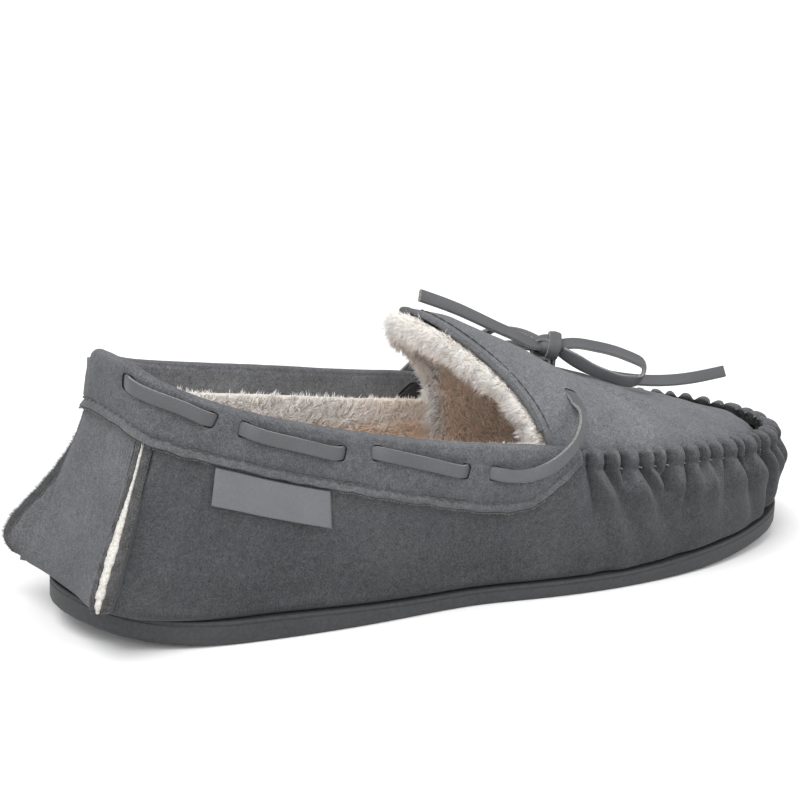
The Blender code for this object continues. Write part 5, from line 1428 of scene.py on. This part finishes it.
def make_fringe(shades):
    """Pile that stands up past the collar's turned leg near the front of the opening, on the lateral side."""
    rng = np.random.default_rng(78)
    x = rng.uniform(-46.0, 11.0, FRINGE_TRIES)
    x = x[smooth_step(-48.0, -24.0, x) > rng.uniform(size=FRINGE_TRIES)]
    column = Columns(np.interp(x, [-60.0, 14.0], [w_at_x(-60.0, -1), w_at_x(14.0, -1)]))
    drop = 3.2 + 3.4 * smooth_step(8.0, -20.0, x) + rng.uniform(-0.8, 0.8, len(x))
    offset = -5.0 + rng.uniform(-0.7, 0.7, len(x))
    roots = column.at_drop(drop[:, None], offset[:, None])[:, 0]
    lengths = drop - 0.7 + rng.uniform(-0.8, 0.9, len(x))
    make_fur("collar_fringe", roots, unit(UP - 0.35 * column.normal), np.zeros(3), lengths,
             np.full(len(roots), 0.85), shades, 79, thick=0.13, clump=3.0, pull=0.3)


def make_edge_fuzz():
    """Short raw fibres along the cut edges of the heel seams and the collar, but not at the label."""
    shades = []
    for k, tone in enumerate(FUZZ_TONES):
        material = new_material(f"suede_fuzz_{k}", 0.95, specular=0.1)
        paint(material, (tone, 0.955 * tone, 0.90 * tone))
        shades.append(material)
    rng = np.random.default_rng(95)
    roots, ways = [], []
    for w in (-HEEL_SEAM_W, HEEL_SEAM_W):
        out, sideways = seam_frame(w)
        column = Columns([w])
        full = column.full[0]
        for leaf_side in (1, -1):
            drop = rng.uniform(collar_depth(w)[0] + 1.0, full - 0.5, FUZZ_PER_LEAF)
            seam = column.at_drop(drop[None])[0]
            gap = seam_half_gap(1.0 - drop / full)[:, None]
            place = gap + rng.uniform(0.2, FIN_LEAF[leaf_side] - 0.3, FUZZ_PER_LEAF)[:, None]
            reach = fin_reach(full - drop, w)[:, None]
            reach -= HEEL_LEAF_BACK if w > 0 and leaf_side < 0 else 0.0
            roots.append(seam + place * leaf_side * sideways + (reach - 0.1) * out)
            ways.append(np.tile(out, (FUZZ_PER_LEAF, 1)))
    places = rng.uniform(w_at_x(8.0, -1), w_at_x(8.0, 1), FUZZ_AT_COLLAR)
    x = top_edge(places)[:, 0]
    column = Columns(places[(x < LABEL_REAR_X - 1.5) | (x > LABEL_FRONT_X + 1.5) | (places > 0)])
    drop = collar_depth(column.w) + collar_wave(column) - 0.1
    roots.append(column.at_drop(drop[:, None], 1.55)[:, 0])
    ways.append(0.8 * column.normal - 0.8 * UP)
    roots, ways = np.concatenate(roots), unit(np.concatenate(ways))
    # The side wall's leaf of the medial seam, which stands further out, has paler and longer fibres.
    pale = np.zeros(len(roots))
    pale[2 * FUZZ_PER_LEAF:3 * FUZZ_PER_LEAF] = 1.0
    lengths = rng.uniform(0.45, 1.15, len(roots)) * (1.0 + 0.8 * pale)
    levels = rng.uniform(0.0, 0.6, len(roots)) + 0.4 * pale
    make_fur("edge_fuzz", roots, ways, np.zeros(3), lengths, levels, shades, 96,
             thick=0.06, clump=1.2, pull=0.25)


def make_toe_stitching(material):
    """Light thread where each tuck is drawn in under the toe ridge."""
    places = np.linspace(w_at_x(COLLAR_END_X, 1), 2.0 + w_at_x(COLLAR_END_X, -1), 1500)
    along = chord_lengths(top_edge(places))
    centres, _ = pleat_centres(along[-1])
    share = np.linspace(-1.0, 1.0, 5)
    parts = []
    for centre in centres[2:-2]:
        stitch = Columns(np.interp(centre, along, places) + 0.0018 * share)
        offset = -1.9 + 1.5 * np.abs(share)
        line = stitch.at_drop(np.full((5, 1), PINCH_DROP + 0.15), offset[:, None])[:, 0]
        parts.append(stitch_mesh(line, stitch.normal, 0.25 * np.array([0.5, 0.95, 1.0, 0.95, 0.5])))
    make_piece("toe_stitching", *join_meshes(parts), material, sharp=80.0)


def make_footbed(shades, base_material):
    """Plush footbed: a crowned pad with its pile."""
    count, rows = 150, 40
    w = np.linspace(-1.0, 1.0, count + 1)
    rim = sole_edge(w, FOOTBED_INSET + 6.2 - 1.6 * smooth_step(0.0, 0.4, fold_w(w)))
    sides = [rim[:count // 2 + 1], rim[count // 2:][::-1]]
    across = np.linspace(0.0, 1.0, rows)[None, :, None]
    top = sides[0][:, None] * (1 - across) + sides[1][:, None] * across
    x, share = top[..., 0], np.broadcast_to(across[..., 0], top.shape[:2])
    edge = np.clip(np.minimum(share, 1 - share) * rows / 4.0, 0.0, 1.0)
    along = np.linspace(0.0, 1.0, len(top))[:, None]
    crown = np.sqrt(edge) * (smooth_step(0.0, 0.04, 1 - along) * smooth_step(0.0, 0.04, along))
    base = sole_top(x) + MARGIN_GAP + SUEDE + 3.6
    top[..., 2] = base + 0.8 + (FOOTBED_HEIGHT - 5.6) * crown
    low = top.copy()
    low[..., 2] = base
    pad = make_piece("footbed_plush_pad", *sheet_mesh(top, low), base_material, ["footbed_plush"], "fur",
                     sharp=80.0)
    rng = np.random.default_rng(81)
    weight = 0.35 + 1.3 * smooth_step(45.0, 5.0, x)
    inside = top[:, 1:-1]
    inside = inside + (0.6 * ripple(inside, 16.0, 82) + 0.9)[..., None] * UP
    roots, facing, _ = scatter(inside, FOOTBED_BLADES, weight[:, 1:-1], rng)
    lengths = 4.4 + 0.8 * ripple(roots, 12.0, 83)
    shade = np.clip(0.42 + 0.22 * ripple(roots, 18.0, 84), 0.05, 0.9)
    make_fur("footbed_fur", roots, turned_to(facing, UP), 0.27 * AHEAD, lengths, shade, shades, 85)


# ---- Lace, bow and label ----
def strap_piece(name, rings, materials, replaces, body=BODY):
    """Flat lace from its rings: smooth faces and paler cut edges, as two materials."""
    points, faces = tube_mesh(rings)
    obj = make_piece(name, points, faces, materials, replaces, "lace_leather", sharp=50.0, body=body)
    size = rings.shape[1]
    cut_sides = {6, size - 1}
    for k, polygon in enumerate(obj.data.polygons):
        polygon.material_index = int(k >= len(faces) - 2 or k % size in cut_sides)
    return obj


def make_lace(materials, lace):
    """The lace through the collar and the apron."""
    route, faces, _ = lace
    waver = 0.05 * ripple(route, 14.0, 91)[:, None]
    rings = strap_rings(route, unit(faces + waver), LACE_WIDTH, LACE_THICKNESS)
    strap_piece("lace_strap", rings, materials, ["lace"])


def knot_wrap(axis, half_width, half_height, shift, turn_degrees, tilt):
    """Rings of a short lace wound once round the knot, square to an axis and tilted a little."""
    axis = unit(np.array(axis, float))
    side = unit(np.cross([0.0, 0.0, 1.0], axis))
    up = np.cross(axis, side)
    turns = np.radians(np.linspace(-25.0, turn_degrees, 64))
    grow = 1.0 + 0.10 * (turns - turns[0]) / (turns[-1] - turns[0])
    points = (KNOT_CENTRE + shift + (half_width * grow * np.cos(turns))[:, None] * side
              + (half_height * grow * np.sin(turns))[:, None] * up + (tilt * np.cos(turns))[:, None] * axis)
    normals = np.cos(turns)[:, None] * side / half_width + np.sin(turns)[:, None] * up / half_height
    return strap_rings(points, unit(normals), LACE_WIDTH, LACE_THICKNESS, cup=-0.25)


def make_knot(materials):
    """Knot of the bow: two tight wraps over a rounded core."""
    rings = []
    for latitude in np.radians(np.linspace(-80.0, 80.0, 16)):
        turns = np.linspace(0.0, 2 * math.pi, 29)[:-1]
        ring = np.stack([np.full(28, math.sin(latitude)), math.cos(latitude) * np.cos(turns),
                         math.cos(latitude) * np.sin(turns)], axis=1)
        rings.append(KNOT_CENTRE + KNOT_HALF * np.array([0.95, 0.82, 0.88]) * ring)
    make_piece("knot_core", *tube_mesh(np.array(rings)), materials[0], ["lace_knot"], "lace_leather",
               sharp=60.0)
    strap_piece("knot_wrap_front", knot_wrap((0.93, -0.28, -0.18), 4.5, 3.9, (0.9, 0.0, 0.1), 335.0, 1.2),
                materials, [])
    strap_piece("knot_wrap_rear", knot_wrap((0.80, 0.55, 0.1), 4.1, 3.3, (-2.1, 0.4, -0.3), 335.0, -1.0),
                materials, [])


def make_bow_part(name, node, body, route, normals, far_end, materials):
    """A loop or free end of the bow as a flat lace, riding on its own body.

    normals are (share of its length, direction of its face).
    """
    tucked = [KNOT_CENTRE + KNOT_TUCK * (np.array(route[0]) - KNOT_CENTRE)] + list(route)
    if far_end == "object":
        tucked.append(KNOT_CENTRE + KNOT_TUCK * (np.array(route[-1]) - KNOT_CENTRE))
    points = smooth_route(tucked, 0.9)
    share = chord_lengths(points) / chord_lengths(points)[-1]
    faces = resample(share, *zip(*normals))
    rings = strap_rings(points, unit(faces), LACE_WIDTH, LACE_THICKNESS)
    obj = strap_piece(name, rings, materials, [node], body)


def make_label(materials):
    """Blank leather tab that hangs from under the collar's edge."""
    places = np.linspace(w_at_x(LABEL_REAR_X, -1), w_at_x(LABEL_FRONT_X, -1), 44)
    column = Columns(places)
    across = np.linspace(0.0, 1.0, 44)[:, None]
    down = np.concatenate([[0.0, 0.012], np.linspace(0.04, 0.96, 18), [0.988, 1.0]])[None, :]
    high = collar_depth(places)[:, None] + LABEL_TUCK
    low = (collar_depth(places) + LABEL_GAP_TO_COLLAR + LABEL_HEIGHT)[:, None]
    drop = high + (low - high) * down
    side_edge = np.minimum(across, 1 - across) * (LABEL_FRONT_X - LABEL_REAR_X)
    ends = np.minimum(side_edge, np.minimum(down, 1 - down) * LABEL_HEIGHT)
    rounding = 0.42 * (1 - np.sqrt(np.clip(1 - (1 - np.clip(ends / 0.6, 0, 1)) ** 2, 0, 1)))
    curl = 0.5 + 0.7 * down + 0.35 * down * (2 * across - 1) ** 2 + 0.18 * np.sin(7.0 * across + 1.0) * down
    border = 0.10 * np.exp(-((ends - 1.15) / 0.3) ** 2)
    outer = column.at_drop(drop, curl + LABEL_THICKNESS - rounding - border)
    inner = column.at_drop(drop, curl + 0.5 * rounding)
    make_piece("label_tab_leather", *sheet_mesh(outer, inner), materials[0], ["label"], "lace_leather",
               sharp=70.0, body="label_tab")


def dress_hidden(names, material):
    """Gives carried-over CAD nodes a finished material."""
    for name in names:
        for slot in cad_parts[name].material_slots:
            slot.material = material


# ---- Build ----
# Lit and shaded copies of one suede: the apron's and the heel panel's tones are painted paler and the side
# wall's darker, as painted light from above and behind; the collar's tone sits between.
suede_wall = suede_material("suede_wall", 0.077, 0.46)
suede_heel = suede_material("suede_heel", 0.112, 0.3)
suede_apron = suede_material("suede_apron", 0.148)
suede_collar = suede_material("suede_collar", 0.098, 0.3, 0.9)
rubber = rubber_material()
felt = felt_material()
grey_thread = thread_material("grey_thread", (0.085, 0.085, 0.09))
lace_line = lace_route(1.0)

make_outsole(rubber)
suede_piece("wall_suede", HEEL_SEAM_W, 2.0 - HEEL_SEAM_W, 1, 1.0, suede_wall, ["side_wall"])
suede_piece("heel_suede", -HEEL_SEAM_W, HEEL_SEAM_W, -1, 0.0, suede_heel, ["heel_panel"])
make_felt(felt)
make_collar(suede_collar, lace_line)
make_collar_stitching(grey_thread)
make_apron(suede_apron, lace_line)
dark_thread = thread_material("dark_thread", (0.05, 0.05, 0.053))
make_tongue_binding(suede_material("suede_binding", 0.12), dark_thread)

leather = leather_material("lace_leather", 0.086, 0.5)
lace_finish = [leather, raw_edge_material("lace_cut_edge")]
make_lace(lace_finish, lace_line)
make_knot(lace_finish)
make_bow_part("bow_loop_near", "bow_loop_lateral", "lateral_loop", NEAR_LOOP,
              [(0.0, (-0.2, -0.6, 0.75)), (0.35, (0.0, -0.75, 0.65)), (0.52, (0.8, -0.55, 0.1)),
               (0.68, (0.1, -0.8, -0.5)), (1.0, (0.0, -0.8, -0.5))], "object", lace_finish)
make_bow_part("bow_loop_far", "bow_loop_medial", "medial_loop", FAR_LOOP,
              [(0.0, (0.1, 0.1, 1.0)), (0.35, (0.1, 0.2, 1.0)), (0.52, (0.0, 1.0, 0.1)),
               (0.68, (0.1, 0.2, -1.0)), (1.0, (0.1, 0.0, -1.0))], "object", lace_finish)
make_bow_part("lace_end_front_strap", "lace_end_front", "front_end", FRONT_TAIL,
              [(0.0, (0.1, -0.5, 0.85)), (0.5, (0.0, -0.8, 0.6)), (1.0, (0.0, -0.9, 0.45))], "bare",
              lace_finish)
make_bow_part("lace_end_rear_strap", "lace_end_rear", "rear_end", REAR_TAIL,
              [(0.0, (0.2, -0.7, 0.7)), (0.5, (0.2, -0.9, 0.4)), (1.0, (0.1, -0.95, 0.3))], "bare",
              lace_finish)
make_label([leather_material("label_leather", 0.126, 0.5), lace_finish[1]])
fur_blades = fur_shades()
pile_base = pile_base_material()
make_quarter_fur(fur_blades, pile_base)
make_vamp_fur(fur_blades, pile_base)
make_footbed(fur_blades, pile_base)
make_fringe(fur_blades)
make_edge_fuzz()
make_toe_stitching(thread_material("pale_thread", (0.40, 0.39, 0.38)))
dress_hidden(["insole_board", "footbed_foam", "heel_counter"], felt)


# ---- Floor, light and camera ----
def make_floor():
    """Plain pale floor."""
    mesh = bpy.data.meshes.new("floor")
    size = 20.0
    corners = [(-size, -size, 0), (size, -size, 0), (size, size, 0), (-size, size, 0)]
    mesh.from_pydata(corners, [], [(0, 1, 2, 3)])
    material = new_material("floor_paper", 0.9, specular=0.1)
    paint(material, (0.93, 0.93, 0.93))
    mesh.materials.append(material)
    add_object("floor", mesh)


def add_sun(name, way, spread, strength):
    """Broad soft light from a direction, with its spread in degrees."""
    lamp = bpy.data.lights.new(name, "SUN")
    lamp.angle = math.radians(spread)
    lamp.energy = strength
    add_object(name, lamp).matrix_world = Vector(way).to_track_quat("Z", "Y").to_matrix().to_4x4()


def add_snoot(name, place, target, radius, power):
    """Soft narrow light on one spot, such as a snoot gives."""
    lamp = bpy.data.lights.new(name, "SPOT")
    place, target = Vector(place), Vector(target)
    lamp.spot_size = 2.0 * math.atan(radius / (place - target).length)
    lamp.spot_blend = 1.0
    lamp.shadow_soft_size = 0.06
    lamp.energy = power
    turn = (place - target).to_track_quat("Z", "Y").to_matrix().to_4x4()
    add_object(name, lamp).matrix_world = Matrix.Translation(place) @ turn


def set_world(colour, strength):
    """Even studio surroundings."""
    world = bpy.data.worlds.new("studio")
    world.use_nodes = True
    background = world.node_tree.nodes["Background"]
    background.inputs["Color"].default_value = (*colour, 1.0)
    background.inputs["Strength"].default_value = strength
    bpy.context.scene.world = world


def make_camera():
    """Camera to the heel side of the lateral flank, a little above it."""
    turn, lift, roll = (math.radians(a) for a in (CAMERA_AZIMUTH, CAMERA_ELEVATION, CAMERA_ROLL))
    forward = Vector((math.sin(turn) * math.cos(lift), math.cos(turn) * math.cos(lift), -math.sin(lift)))
    right = Vector((math.cos(turn), -math.sin(turn), 0.0))
    up = right.cross(forward)
    right, up = math.cos(roll) * right + math.sin(roll) * up, math.cos(roll) * up - math.sin(roll) * right
    camera = bpy.data.cameras.new("camera")
    camera.lens = CAMERA_LENS
    camera.sensor_width = CAMERA_SENSOR
    obj = add_object("camera", camera)
    axes = Matrix((right, up, -forward)).transposed().to_4x4()
    obj.matrix_world = Matrix.Translation(CAMERA_TARGET - CAMERA_DISTANCE * forward) @ axes
    bpy.context.scene.camera = obj


make_floor()
set_world((1.0, 1.0, 1.0), 0.68)
add_sun("key", (-0.45, -0.15, 0.9), 40.0, 1.8)
add_sun("fill", (-0.62, -0.70, 0.38), 45.0, 1.05)
add_sun("toe", (0.66, -0.58, 0.48), 30.0, 0.75)
add_snoot("inside", (-0.62, -0.62, 0.36), (0.018, 0.004, 0.048), 0.032, 34.0)
bpy.context.scene.view_settings.view_transform = "Standard"
make_camera()
